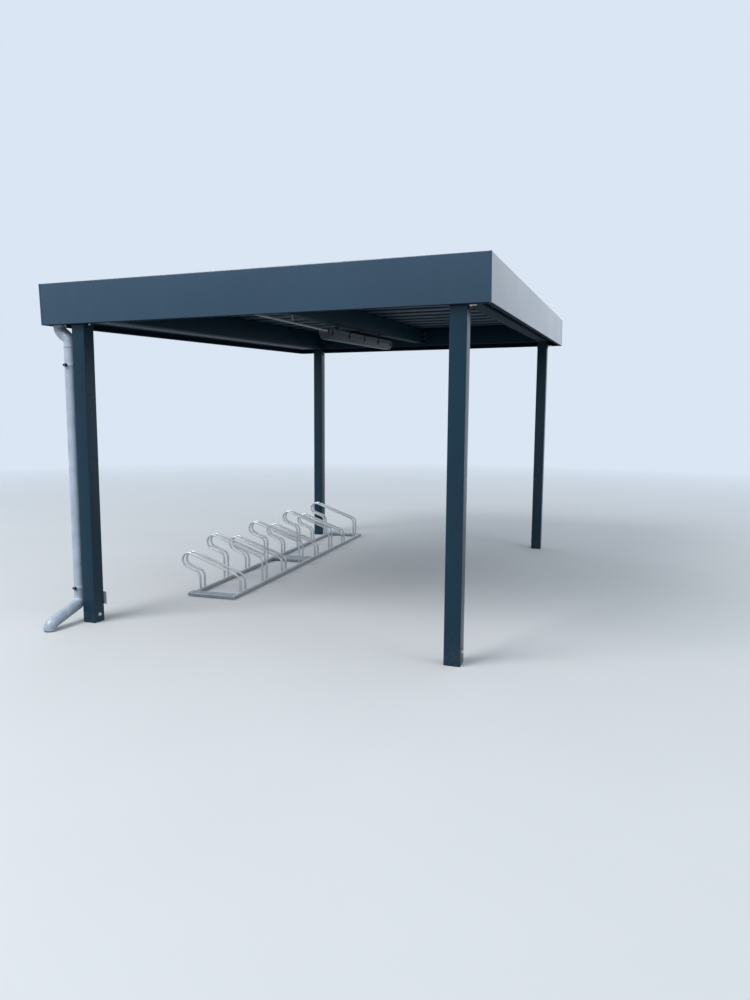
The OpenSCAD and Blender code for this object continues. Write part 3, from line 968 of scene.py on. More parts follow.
@dataclass
class Posts:
    """Square steel posts with rounded edges, their head brackets and their foot bolts."""

    setting: Setting
    edge: float = 0.007
    bracket_wide: float = 0.060
    bracket_drop: float = 0.070
    bracket_rise: float = 0.075
    bracket_thick: float = 0.004
    bracket_edge: float = 0.0012
    head_bolt: Fastener = Fastener(0.013, 0.00806)
    head_bolt_drop: float = 0.042
    head_bolt_rise: float = 0.04125
    thread: float = 0.0042
    thread_bore: float = 0.000084
    thread_long: float = 0.042
    foot_bolt: Fastener = Fastener(0.015, 0.012)
    foot_bolt_left: float = 0.052
    foot_bolt_right: float = 0.075
    drain_plug: Fastener = Fastener(0.010, head=Head.PAN)
    drain_plug_height: float = 0.095
    lug_behind: float = 0.018
    lug_reach: float = 0.020
    lug_low: float = 0.116
    lug_high: float = 0.204
    lug_thick: float = 0.004
    lug_edge: float = 0.0018
    lug_bolt: Fastener = Fastener(0.013, 0.011)
    lug_bolt_behind: float = 0.006

    def build(self) -> None:
        """Makes the tubes, brackets and bolts."""
        self.tubes()
        self.head_plates()
        self.foot_bolts()
        self.earth_strip()

    def tubes(self) -> None:
        """Makes each post, cut under its beam."""
        s = self.setting
        outer = rounded_box_outline(s.post, s.post, self.edge)
        hole = s.post - 2 * s.post_wall
        inner = rounded_box_outline(hole, hole, self.edge - s.post_wall)
        for name, (x, y) in s.posts().items():
            blank = Blank(name + "_tube")
            base = Matrix.Translation(s.point(x, y, 0))

            def top(dx: float, dy: float, x: float = x, y: float = y) -> float:
                """Gives the underside of the beam over a point of the post."""
                return s.roof_level(x + dx, y + dy, s.beam_low)

            blank.hollow(outer, inner, base, 0.0, top)
            blank.join(FRAME_PAINT, [name])

    def head_plates(self) -> None:
        """Makes the plates that tie each post's head to its side beam, and their bolts."""
        s = self.setting
        plates = Blank("post_head_plates")
        lit_bolts = Blank("post_head_bolts_right")
        shaded_bolts = Blank("post_head_bolts_left")
        for x, y in s.posts().values():
            for side in (-1, 1):
                # Bolts on each post's right side stay bright; those on its left side take the dark bolt
                # steel, a painted shade.
                bolts = lit_bolts if side > 0 else shaded_bolts
                inward = (x < -s.span_x / 2) == (side > 0)
                face = x + side * s.post / 2
                outer = face + side * self.bracket_thick
                near, far = sorted((face, outer))
                half = self.bracket_wide / 2
                top = s.roof_level(face, y, s.beam_low)
                low = s.point(near, y - half, top - self.bracket_drop)
                high = s.point(far, y + half, top + self.bracket_rise)
                plates.block(low, high, self.bracket_edge)
                out = Vector((side, 0, 0))
                lower = s.point(outer, y, top - self.head_bolt_drop)
                for at in (lower, s.point(outer, y, top + self.head_bolt_rise)):
                    bolts.bolt(at, out, self.head_bolt)
                if not inward:
                    stub = [lower, lower + out * (self.thread_long - self.bracket_thick)]
                    bolts.tube(stub, self.thread, self.thread - self.thread_bore, 12)
        plates.join(BEAM_PAINT)
        lit_bolts.join(BOLT_ZINC)
        shaded_bolts.join(SHADED_BOLT)

    def foot_bolts(self) -> None:
        """Makes the anchor bolts low on each post's sides, and the right posts' drain plugs."""
        s = self.setting
        bolts = Blank("post_foot_bolts")
        plugs = Blank("post_drain_plugs")
        for x, y in s.posts().values():
            left = x < -s.span_x / 2
            height = self.foot_bolt_left if left else self.foot_bolt_right
            for side in (-1, 1):
                out = Vector((side, 0, 0))
                face = x + side * s.post / 2
                bolts.bolt(s.point(face, y, height), out, self.foot_bolt)
                if not left:
                    plug = s.point(face, y, self.drain_plug_height)
                    plugs.bolt(plug, out, self.drain_plug)
        bolts.join(BOLT_ZINC)
        plugs.join(SEAL_BLACK)

    def earth_strip(self) -> None:
        """Makes the earthing lug behind the front left post's foot."""
        s = self.setting
        strip = Blank("earthing_lug")
        face = s.post / 2
        edge = face - s.span_x
        outer = face + self.lug_thick
        low = s.point(edge - self.lug_behind, face, self.lug_low)
        high = s.point(edge + self.lug_reach, outer, self.lug_high)
        strip.block(low, high, self.lug_edge)
        at = s.point(edge - self.lug_bolt_behind, outer, (self.lug_low + self.lug_high) / 2)
        strip.bolt(at, Vector((0, 1, 0)), self.lug_bolt)
        strip.join(PALE_ZINC)


@dataclass
class RoofFrame:
    """Rectangular steel tubes under the roof sheets, with the fascia's brackets."""

    setting: Setting
    width: float = 0.100
    wall: float = 0.004
    edge: float = 0.007
    cleat: float = 0.050
    cleat_thick: float = 0.004
    cleat_bend: float = 0.005
    cleat_low: float = 0.125
    cleat_top: float = 0.035
    cleat_bolts: tuple[float, float] = (0.055, 0.105)
    cleat_bolt_out: float = 0.030
    cleat_bolt: Fastener = Fastener(0.013, 0.011)

    def build(self) -> None:
        """Makes the beams, the purlin, their cleats and the bolts."""
        s = self.setting
        along_y = Matrix(((-1, 0, 0, 0), (0, 0, 1, 0), (0, 1, 0, 0), (0, 0, 0, 1)))
        for name, y in (("beam_front", 0.0), ("beam_rear", s.span_y)):
            self.tube(name, ALONG_X, (-s.span_x / 2, y), s.span_x - self.width, s.beam_low)
        for name, x in (("beam_left", -s.span_x), ("beam_right", 0.0)):
            self.tube(name, along_y, (x, s.span_y / 2), s.span_y + self.width, s.beam_low)
        middle = (s.purlin_x, s.span_y / 2)
        self.tube("purlin_middle", along_y, middle, s.span_y - self.width, s.purlin_low)
        self.cleats()
        dress_nodes(BEAM_PAINT, "brackets_front", "brackets_rear", "brackets_right")

    def tube(
        self, name: str, turn: Matrix, middle: tuple[float, float], length: float, low: float
    ) -> None:
        """Makes one tube of the frame, up to the roof sheets.

        Args:
            name: The node that it replaces.
            turn: The turn from the section's frame to the roof's.
            middle: The tube's middle in the roof's plan.
            length: Its length.
            low: The height of its underside.
        """
        high = self.setting.deck_low
        blank = Blank(name + "_tube", self.setting.roof)
        place = Matrix.Translation((*middle, (low + high) / 2)) @ turn
        sections = []
        for inset in (0.0, self.wall):
            width, tall = self.width - 2 * inset, high - low - 2 * inset
            sections.append(rounded_box_outline(width, tall, self.edge - inset))
        outer, inner = sections
        blank.hollow(outer, inner, place, -length / 2, length / 2)
        # The undersides take the darker copy of the paint, a painted shade.
        blank.join(BEAM_PAINT, [name], under=BEAM_UNDER_SHADED)

    def cleats(self) -> None:
        """Makes the angle cleats where the tubes meet, and their bolts."""
        s = self.setting
        half = self.width / 2
        cleats = Blank("beam_cleats", s.roof)
        bolts = Blank("beam_cleat_bolts", s.roof)
        thick = self.cleat_thick
        line = [(thick / 2, self.cleat), (thick / 2, thick / 2), (self.cleat, thick / 2)]
        outline = folded_outline(line, thick, self.cleat_bend)
        corners = []
        for y, inward in ((0.0, 1), (s.span_y, -1)):
            inner = y + inward * half
            corners += [(-half, inner, -1, inward), (half - s.span_x, inner, 1, inward)]
            corners += [(s.purlin_x - half, inner, -1, inward), (s.purlin_x + half, inner, 1, inward)]
        for x, y, side, inward in corners:
            turn = Matrix(((side, 0, 0, x), (0, inward, 0, y), (0, 0, 1, 0), (0, 0, 0, 1)))
            cleats.prism(outline, turn, s.deck_low - self.cleat_low, s.deck_low - self.cleat_top)
            for drop in self.cleat_bolts:
                level = s.deck_low - drop
                for over_x, over_y, out in (
                    (thick, self.cleat_bolt_out, Vector((side, 0, 0))),
                    (self.cleat_bolt_out, thick, Vector((0, inward, 0))),
                ):
                    at = Vector((x + side * over_x, y + inward * over_y, level))
                    bolts.bolt(at, out, self.cleat_bolt)
        cleats.join(BEAM_PAINT)
        # The cleats' bolts take the dark copy of the bolt steel, a painted shade under the roof.
        bolts.join(SHADED_BOLT)


@dataclass
class RoofSkin:
    """Trapezoidal roof sheets with small stiffening grooves, and their screws."""

    setting: Setting
    sheets: int = 5
    ribs: int = 3
    rib_high: float = 0.035
    crest: float = 0.080
    side: float = 0.025
    thick: float = 0.001
    edge_gap: float = 0.008
    joint: float = 0.001
    fold: float = 0.004
    groove: float = 0.003
    groove_foot: float = 0.006
    groove_mouth: float = 0.018
    drip: float = 0.070
    screw: Fastener = Fastener(0.008, 0.007)
    screw_aside: float = 0.025
    screw_lift: float = 0.0022
    seal: float = 0.0085
    seal_high: float = 0.0028

    def build(self) -> None:
        """Makes the sheets and their screws."""
        s = self.setting
        cover = (s.span_y + s.over_front + s.over_rear - 2 * self.edge_gap) / self.sheets
        pitch = (cover - self.joint) / self.ribs
        foot = pitch - self.crest - 2 * self.side
        start = self.edge_gap - s.over_front
        left = -s.span_x - s.post / 2 - self.drip
        right = s.over_right - self.edge_gap
        outline = folded_outline(self.middle_line(pitch, foot), self.thick, self.fold)
        for number in range(self.sheets):
            blank = Blank(f"roof_sheet_{number + 1}_formed", s.roof)
            place = Matrix.Translation((0, start + number * cover, s.deck_low)) @ ALONG_X
            blank.prism(outline, place, left, right)
            # The undersides take the lighter copy of the sheet paint, painted light in the roof's shade.
            blank.join(SHEET_PAINT, [f"roof_sheet_{number + 1}"], under=SHEET_UNDER_LIFTED)
        self.screws(start, cover, pitch)

    def middle_line(self, pitch: float, foot: float) -> Outline:
        """Draws the middle line of a sheet's section.

        Args:
            pitch: The distance from rib to rib.
            foot: The width of the flat between two ribs.

        Returns:
            The line's points.
        """
        low = self.thick / 2
        high = low + self.rib_high
        mouth, floor = self.groove_mouth / 2, self.groove_foot / 2
        points = [(0.0, low)]
        for rib in range(self.ribs):
            begin = rib * pitch + foot / 2
            crest = begin + self.side
            half = crest + self.crest / 2
            points += [(begin, low), (crest, high)]
            points += [(half - mouth, high), (half - floor, high - self.groove)]
            points += [(half + floor, high - self.groove), (half + mouth, high)]
            points += [(crest + self.crest, high), (crest + self.crest + self.side, low)]
        points.append((self.ribs * pitch, low))
        return points

    def screws(self, start: float, cover: float, pitch: float) -> None:
        """Makes the sheet screws over the beams and the purlin.

        Args:
            start: Where the first sheet begins.
            cover: The width that a sheet covers.
            pitch: The distance from rib to rib.
        """
        s = self.setting
        screws = Blank("roof_screws", s.roof)
        seals = Blank("roof_screw_seals", s.roof)
        lines = (-s.span_x, s.purlin_x, 0.0)
        rim, high = self.seal, self.seal_high
        seal = [(0, 0), (rim, 0), (rim, 0.002), (0.004, high), (0, high)]
        shifts = {0: self.screw_aside, self.ribs: -self.screw_aside}
        for number in range(self.sheets):
            for rib in range(self.ribs + 1):
                y = start + number * cover + rib * pitch + shifts.get(rib, 0.0)
                for x in lines:
                    base = Vector((x, y, s.deck_low + self.thick))
                    seals.turned(seal, Matrix.Translation(base), 14)
                    screws.bolt(base + UP * self.screw_lift, UP, self.screw)
        screws.join(BOLT_ZINC)
        seals.join(SEAL_BLACK)


@dataclass
class Fascia:
    """Folded sheet round the roof's edge, mitred at its corners and closed with corner lips."""

    setting: Setting
    high: float = 0.270
    thick: float = 0.002
    fold_low: float = 0.030
    fold_top: float = 0.060
    hem: float = 0.012
    mitre: float = 0.001
    lip: float = 0.001
    lip_wide: float = 0.013
    lip_bend: float = 0.0025
    lip_low: float = 0.0006
    lip_drop: float = 0.0004
    bend: float = 0.004
    rivet: Fastener = Fastener(0.0075, head=Head.PAN)
    rivet_in: float = 0.0165
    rivet_sunk: float = 0.0009
    rivet_places: tuple[float, ...] = (0.25, 0.5, 0.75)

    def build(self) -> None:
        """Makes the four sides, the corner lips and the rivets."""
        s = self.setting
        x0, x1 = -s.span_x - s.over_left, s.over_right
        y0, y1 = -s.over_front, s.span_y + s.over_rear
        sides = {
            "fascia_front": ((x0, y0), 0, x1 - x0, 0.0),
            "fascia_right": ((x1, y0), 90, y1 - y0, self.thick),
            "fascia_rear": ((x1, y1), 180, x1 - x0, 0.0),
            "fascia_left": ((x0, y1), 270, y1 - y0, self.thick),
        }
        for name, (corner, turn, length, butt) in sides.items():
            self.side(name, self.edge_frame(corner, turn), length, butt)
        self.corner_lips([(place, turn) for place, turn, _, _ in sides.values()])
        self.rivets([(place, turn, length) for place, turn, length, _ in sides.values()])

    def edge_frame(self, corner: tuple[float, float], turn: float) -> Matrix:
        """Gives the frame of one side: X along it, Y inwards, Z up.

        Args:
            corner: Where the side starts in the roof's plan.
            turn: Its turn in degrees.

        Returns:
            The frame.
        """
        return (
            self.setting.roof
            @ Matrix.Translation((*corner, 0))
            @ Matrix.Rotation(math.radians(turn), 4, "Z")
        )

    def side(self, name: str, place: Matrix, length: float, butt: float) -> None:
        """Makes one side.

        Args:
            name: The node that it replaces.
            place: The side's frame.
            length: Its length over the corners.
            butt: How far its ends stay behind the neighbours' faces.
        """
        half = self.thick / 2
        line = [
            (self.fold_low - half, self.hem),
            (self.fold_low - half, half),
            (self.lip + half, half),
            (self.lip + half, self.high - half),
            (self.fold_top - half, self.high - half),
            (self.fold_top - half, self.high - self.hem),
        ]
        outline = folded_outline(line, self.thick, self.bend)
        gap = self.mitre if butt else 0.0

        def start(inward: float, _level: float) -> float:
            """Follows the mitre at the first corner."""
            return max(butt + gap, inward + gap, self.lip)

        def end(inward: float, _level: float) -> float:
            """Follows the mitre at the last corner."""
            return length - start(inward, 0)

        blank = Blank(name + "_folded", place)
        blank.prism(outline, ALONG_X, start, end)
        inward = place.to_3x3() @ Vector((0, 1, 0))
        # Faces that look down or inwards take the darker underside paint, a painted shade.
        blank.join(TRIM_PAINT, [name], under=BEAM_UNDER_SHADED, inward=inward)

    def corner_lips(self, corners: Sequence[tuple[tuple[float, float], float]]) -> None:
        """Makes the thin angle over each outer corner.

        Args:
            corners: Each corner's place and turn.
        """
        lips = Blank("fascia_corner_lips")
        half = self.lip / 2
        line = [(half, self.lip_wide), (half, half), (self.lip_wide, half)]
        outline = folded_outline(line, self.lip, self.lip_bend)
        top = self.high - self.lip_drop
        for corner, turn in corners:
            lips.prism(outline, self.edge_frame(corner, turn), self.lip_low, top)
        lips.join(TRIM_PAINT)

    def rivets(self, sides: Sequence[tuple[tuple[float, float], float, float]]) -> None:
        """Makes the blind rivets along the lower fold.

        Args:
            sides: Each side's corner, turn and length.
        """
        rivets = Blank("fascia_fold_rivets")
        for corner, turn, length in sides:
            place = self.edge_frame(corner, turn)
            down = place.to_3x3() @ DOWN
            for share in self.rivet_places:
                at = place @ Vector((length * share, self.rivet_in, self.rivet_sunk))
                rivets.bolt(at, down, self.rivet)
        rivets.join(TRIM_PAINT)


@dataclass
class Drainage:
    """The gutter's outlet and the round downpipe, with its elbows, sockets, clips and shoe."""

    setting: Setting
    radius: float = 0.040
    wall: float = 0.002
    socket_wall: float = 0.0015
    socket: float = 0.025
    shoe_socket: float = 0.045
    collar: float = 0.003
    slack: float = 0.0004
    flange: float = 0.006
    flange_thick: float = 0.002
    sleeve: float = 0.020
    joint_line: float = 0.0025
    neck_bend: float = 0.048
    neck_angle: float = math.radians(52)
    shoe_reach: float = 0.300
    shoe_bend: float = 0.050
    shoe_angle: float = math.radians(74)
    clip_top: float = 0.145
    clip_low: float = 0.065
    clip_wide: float = 0.020
    clip_thick: float = 0.003
    clip_edge: float = 0.0008
    clip_screw: Fastener = Fastener(0.007, head=Head.PAN)
    stem_apart: float = 0.0035
    plate_half: float = 0.016
    plate_high: float = 0.024
    ear: float = 0.016
    ear_apart: float = 0.0025
    ear_screw: Fastener = Fastener(0.016, 0.012, Head.PAN)
    ear_nut: Fastener = Fastener(0.016, 0.012)
    ear_turn: float = math.radians(270)
    ear_bolt_out: float = 0.004
    seam_half: float = 0.004
    seam_deep: float = 0.0012
    seam_proud: float = 0.001
    seam_edge: float = 0.0006
    seam_short: float = 0.004
    sides: int = 48
    pipe: Vector = field(init=False)
    low: float = field(init=False)
    top: float = field(init=False)
    outlet: Vector = field(init=False)
    lines: Blank = field(init=False)

    def build(self) -> None:
        """Makes the outlet, pipe, bends, clips and the gutter's fittings."""
        s = self.setting
        low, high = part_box("downpipe")
        self.pipe = Vector(((low.x + high.x) / 2, (low.y + high.y) / 2, 0))
        self.low, self.top = low.z, high.z
        outlet = middle_of("gutter_outlet")
        self.outlet = Vector((outlet.x, outlet.y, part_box("gutter_outlet")[0].z))
        dress_nodes(BEAM_PAINT, "gutter", "gutter_ends")
        self.lines = Blank("downpipe_joint_lines")
        self.spigot()
        self.upper_bend()
        self.straight()
        self.shoe()
        self.lines.join(JOINT_SHADE_AND_GRIME)
        self.clips(s.origin.x - s.span_x - s.post / 2)

    def socket_at(self, blank: Blank, at: Vector, way: float, long: float) -> None:
        """Adds a socket with a rounded mouth, and the dark line of grime and painted shadow that sits in
        its joint.

        Args:
            blank: The piece that gets it.
            at: The end of the piece's own tube.
            way: 1 for a socket that opens upwards, -1 for downwards.
            long: How far it reaches over the other pipe.
        """
        outer = self.radius + self.socket_wall
        inner = self.radius + self.slack
        own = self.radius - self.wall
        mouth = self.collar + long
        profile = [
            (own, -0.004),
            (own, self.collar),
            (inner, self.collar + 0.001),
            (inner, mouth),
            (outer - 0.0005, mouth),
            (outer, mouth - 0.0006),
            (outer, mouth - 0.0045),
            (outer - 0.0006, mouth - 0.0065),
            (outer - 0.0006, self.collar),
            (self.radius + 0.0006, -0.002),
            (self.radius + 0.0002, -0.004),
        ]
        frame_of = Matrix.Translation(at) @ Matrix.Diagonal((1, 1, way, 1))
        blank.turned(profile, frame_of, self.sides)
        self.line_at(frame_of @ Matrix.Translation((0, 0, mouth)))

    def line_at(self, frame_of: Matrix) -> None:
        """Adds the thin dark line along a joint's mouth: grime, and a painted shadow of the joint's gap.

        Args:
            frame_of: The mouth's frame, with its Z axis along the pipe.
        """
        low, high = self.radius - self.slack, self.radius + 0.0009
        ring = [(low, -self.slack), (high, -self.slack)]
        ring += [(high - 0.0003, self.joint_line), (low, self.joint_line)]
        self.lines.turned(ring, frame_of, self.sides)

    def swan_neck(
        self, start: Vector, aside: Vector, angle: float, bend: float, end: Vector
    ) -> list[Vector]:
        """Draws a pipe's line that leaves and ends upright and swings aside between.

        Args:
            start: Its upper end.
            aside: The level direction that it swings to.
            angle: Its slope from upright.
            bend: The radius of both turns.
            end: Its lower end.

        Returns:
            The points along its middle.
        """
        shift = (end - start).dot(aside)
        tangent = bend * math.tan(angle / 2)
        run = (shift - 2 * bend * (1 - math.cos(angle))) / math.sin(angle)
        slope = aside * math.sin(angle) + DOWN * math.cos(angle)
        first = start + DOWN * tangent
        second = first + slope * (run + 2 * tangent)
        return bent_path([start, first, second, end], bend, math.radians(6))

    def spigot(self) -> None:
        """Makes the outlet under the gutter, with its flange."""
        s = self.setting
        blank = Blank("gutter_outlet_spigot")
        local = self.outlet - s.origin
        outer = circle_outline(self.radius, self.sides)
        inner = circle_outline(self.radius - self.wall, self.sides)

        def top(dx: float, dy: float) -> float:
            """Gives the gutter's underside over a point of the outlet."""
            return s.roof_level(local.x + dx, local.y + dy, s.beam_low)

        base = Matrix.Translation((self.outlet.x, self.outlet.y, 0))
        blank.hollow(outer, inner, base, self.outlet.z, top)

        def flange_low(dx: float, dy: float) -> float:
            """Gives the flange's underside over a point of the outlet."""
            return top(dx, dy) - self.flange_thick

        flange = circle_outline(self.radius + self.flange, self.sides)
        hole = circle_outline(self.radius - self.slack / 2, self.sides)
        blank.hollow(flange, hole, base, flange_low, top)
        blank.join(ZINC_SHEET, ["gutter_outlet"])

    def upper_bend(self) -> None:
        """Makes the two elbows between the outlet and the downpipe, the lower one over the upper."""
        blank = Blank("downpipe_swan_neck")
        start = self.outlet + DOWN * self.collar
        end = Vector((self.pipe.x, self.pipe.y, self.top + self.collar))
        path = self.swan_neck(start, Vector((1, 0, 0)), self.neck_angle, self.neck_bend, end)
        blank.tube(path, self.radius, self.wall, self.sides)
        slope = Vector((math.sin(self.neck_angle), 0, -math.cos(self.neck_angle)))
        middle = (start + end) / 2 - slope * self.sleeve / 2
        outer, inner = self.radius + self.socket_wall, self.radius + self.slack / 2
        long = self.sleeve
        sleeve = [(inner, 0), (outer - 0.0005, 0), (outer, 0.0006)]
        sleeve += [(outer, long - 0.004), (inner, long)]
        blank.turned(sleeve, Matrix.Translation(middle) @ facing(slope), self.sides)
        self.line_at(Matrix.Translation(middle) @ facing(-slope))
        self.socket_at(blank, start, 1, self.socket)
        self.socket_at(blank, end, -1, self.socket)
        blank.join(ZINC_SHEET, ["downpipe_bend"])

    def straight(self) -> None:
        """Makes the straight pipe with its folded seam at the back."""
        blank = Blank("downpipe_straight")
        path = [Vector((self.pipe.x, self.pipe.y, level)) for level in (self.top, self.low)]
        blank.tube(path, self.radius, self.wall, self.sides)
        back = Vector((self.pipe.x, self.pipe.y + self.radius, 0))
        foot = self.low + self.shoe_socket + self.seam_short
        head = self.top - self.socket - self.seam_short
        low = back + Vector((-self.seam_half, -self.seam_deep, foot))
        high = back + Vector((self.seam_half, self.seam_proud, head))
        blank.block(low, high, self.seam_edge)
        blank.join(ZINC_SHEET, ["downpipe"])

    def shoe(self) -> None:
        """Makes the long shoe that leads the water forwards."""
        blank = Blank("downpipe_long_shoe")
        start = Vector((self.pipe.x, self.pipe.y, self.low - self.collar))
        end = Vector((self.pipe.x, self.pipe.y - self.shoe_reach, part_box("downpipe_shoe")[0].z))
        path = self.swan_neck(start, Vector((0, -1, 0)), self.shoe_angle, self.shoe_bend, end)
        blank.tube(path, self.radius, self.wall, self.sides)
        self.socket_at(blank, start, 1, self.shoe_socket)
        blank.join(ZINC_SHEET, ["downpipe_shoe"])

    def strips(self, blank: Blank, frame_of: Matrix, near: float, far: float, apart: float) -> None:
        """Adds the two flat strips of a clip, side by side.

        Args:
            blank: The piece that gets them.
            frame_of: The clip's frame, with its X axis along the strips.
            near: Where they start.
            far: Where they end.
            apart: How far each lies from the X axis.
        """
        half, flat = self.clip_wide / 2 - 0.001, self.clip_thick / 2
        for side in (-1, 1):
            low = (near, side * apart - flat, -half)
            blank.block(low, (far, side * apart + flat, half), self.clip_edge, frame_of)

    def clips(self, post_face: float) -> None:
        """Makes the pipe clips: a split band, its ears and screws, and a stem with a plate on the post.

        Args:
            post_face: The left face of the front left post.
        """
        bands = Blank("downpipe_clip_bands")
        screws = Blank("downpipe_clip_screws")
        inner, outer = self.radius, self.radius + self.clip_thick
        half = self.clip_wide / 2
        ring = [(inner, -half), (outer - 0.001, -half), (outer, -half + 0.002)]
        ring += [(outer, half - 0.002), (outer - 0.001, half), (inner, half)]
        stem_end = post_face - self.pipe.x
        plate = stem_end - self.clip_thick
        for level in (self.top - self.clip_top, self.low + self.clip_low):
            band = Matrix.Translation((self.pipe.x, self.pipe.y, level))
            bands.turned(ring, band, self.sides)
            self.strips(bands, band, outer - 0.004, plate, self.stem_apart)
            plate_low = (plate, -self.plate_half, -self.plate_high)
            bands.block(plate_low, (stem_end, self.plate_half, self.plate_high), 0.001, band)
            for lift in (-self.plate_half, self.plate_half):
                at = band @ Vector((plate, 0, lift))
                screws.bolt(at, Vector((-1, 0, 0)), self.clip_screw)
            ears = band @ Matrix.Rotation(self.ear_turn, 4, "Z")
            self.strips(bands, ears, inner + 0.001, outer + self.ear, self.ear_apart)
            for side, fastener in ((-1, self.ear_nut), (1, self.ear_screw)):
                at = ears @ Vector((outer + self.ear / 2, side * self.ear_bolt_out, 0))
                out = ears.to_3x3() @ Vector((0, side, 0))
                screws.bolt(at, out, fastener)
        bands.join(ZINC_SHEET, ["downpipe_clips"])
        screws.join(LATCH_GREY)


@dataclass
class TubeLamp:
    """The long damp-proof lamp under the purlin, its latches, hangers and conduit."""

    setting: Setting
    length: float = 1.570
    start: float = 1.260
    width: float = 0.100
    tray_high: float = 0.028
    cover_high: float = 0.051
    slant: float = 0.018
    gap: float = 0.046
    edge: float = 0.009
    latches: int = 5
    latch_end: float = 0.050
    latch_wide: float = 0.0175
    hangers: int = 3
    hanger_bolt: Fastener = Fastener(0.010, 0.009)
    hanger_thick: float = 0.003
    conduit: float = 0.008
    conduit_wall: float = 0.0015
    conduit_bend: float = 0.0192
    conduit_right: float = 0.035
    conduit_drop: float = 0.002
    conduit_entry: float = 0.6
    conduit_clip: float = 0.615
    gland_long: float = 0.0225
    clip_half: float = 0.005
    clip_stem: float = 0.0035
    x: float = field(init=False)
    top: float = field(init=False)
    joint: float = field(init=False)

    def build(self) -> None:
        """Makes the lamp and what holds and feeds it."""
        s = self.setting
        self.x = s.purlin_x
        self.top = s.purlin_low - self.gap
        self.joint = self.top - self.tray_high
        self.tray()
        self.cover()
        self.latch_row()
        self.hang()
        self.feed()

    def ring(self, inset: float, level: float) -> list[tuple[float, float, float]]:
        """Draws the lamp's outline at one level.

        Args:
            inset: How far it lies inside the lamp's full outline.
            level: The level in the roof's frame.

        Returns:
            The outline's points.
        """
        radius = max(self.edge - inset * 0.3, 0.002)
        outline = rounded_box_outline(self.width - 2 * inset, self.length - 2 * inset, radius, 4)
        middle = self.start + self.length / 2
        return [(self.x + x, middle + y, level) for x, y in outline]

    def tray(self) -> None:
        """Makes the tray, with a lip round its lower edge."""
        blank = Blank("lamp_tray_moulded", self.setting.roof)
        upper = ((0.006, 0.0), (0.0025, -0.002), (0.0015, -0.006))
        lip = ((0.001, 0.009), (0.0, 0.007), (0.0, 0.001), (0.004, 0.001))
        rings = [self.ring(inset, self.top + rise) for inset, rise in upper]
        rings += [self.ring(inset, self.joint + rise) for inset, rise in lip]
        rings.append(self.ring(0.004, self.top - 0.005))
        blank.skin(rings, capped=True)
        blank.join(LAMP_GREY, ["lamp_tray"])

    def cover(self) -> None:
        """Makes the milky cover, darkened as a painted shade, with slanted sides and a softly rounded
        underside.
        """
        blank = Blank("lamp_cover_moulded", self.setting.roof)
        lip, bulge, steps = 0.0075, 0.006, 8
        shape = [(0.0035, -0.0005), (0.0, 0.0), (0.0, 0.006), (0.0015, lip)]
        for share in (step / steps for step in range(1, steps + 1)):
            drop = lip + (self.cover_high - lip - bulge) * share
            shape.append((0.0015 + (self.slant - 0.005) * share, drop))
        shape.append((self.slant + 0.0005, self.cover_high - 0.0012))
        shape.append((self.slant + 0.004, self.cover_high))
        blank.skin([self.ring(inset, self.joint - drop) for inset, drop in shape], capped=True)
        blank.join(LAMP_MILKY_SHADED, ["lamp_cover"])

    def latch_row(self) -> None:
        """Makes the clips that hold the cover to the tray."""
        blank = Blank("lamp_latch_clips", self.setting.roof)
        profile = [(-0.0002, 0.0240), (0.0034, 0.0250), (0.0052, 0.0235), (0.0050, 0.0200)]
        profile += [(0.0024, 0.0175), (0.0026, 0.0030), (0.0060, -0.0010), (0.0052, -0.0120)]
        profile += [(0.0020, -0.0205), (-0.0020, -0.0250), (-0.0065, -0.0245)]
        profile += [(-0.0045, -0.0170), (-0.0010, -0.0080), (-0.0002, 0.0010)]
        half = self.latch_wide / 2
        reach = self.length - 2 * self.latch_end
        for number in range(self.latches):
            y = self.start + self.latch_end + reach * number / (self.latches - 1)
            for side in (-1, 1):
                face = self.x + side * self.width / 2
                turn = Matrix(((side, 0, 0, face), (0, 0, 1, y), (0, 1, 0, self.joint), (0, 0, 0, 1)))
                blank.prism(profile, turn, -half, half)
        blank.join(LATCH_GREY, ["lamp_latches"])

    def hang(self) -> None:
        """Makes the hangers' bolts."""
        dress_nodes(BEAM_PAINT, "lamp_hangers")
        bolts = Blank("lamp_hanger_bolts", self.setting.roof)
        for number in range(self.hangers):
            y = self.start + self.length * (number + 0.5) / self.hangers
            lower = self.top + self.hanger_thick
            upper = self.top + self.gap - self.hanger_thick
            bolts.bolt(Vector((self.x, y, lower)), UP, self.hanger_bolt)
            bolts.bolt(Vector((self.x, y, upper)), DOWN, self.hanger_bolt)
        # The hangers' bolts take the dark copy of the bolt steel, a painted shade under the purlin.
        bolts.join(SHADED_BOLT)

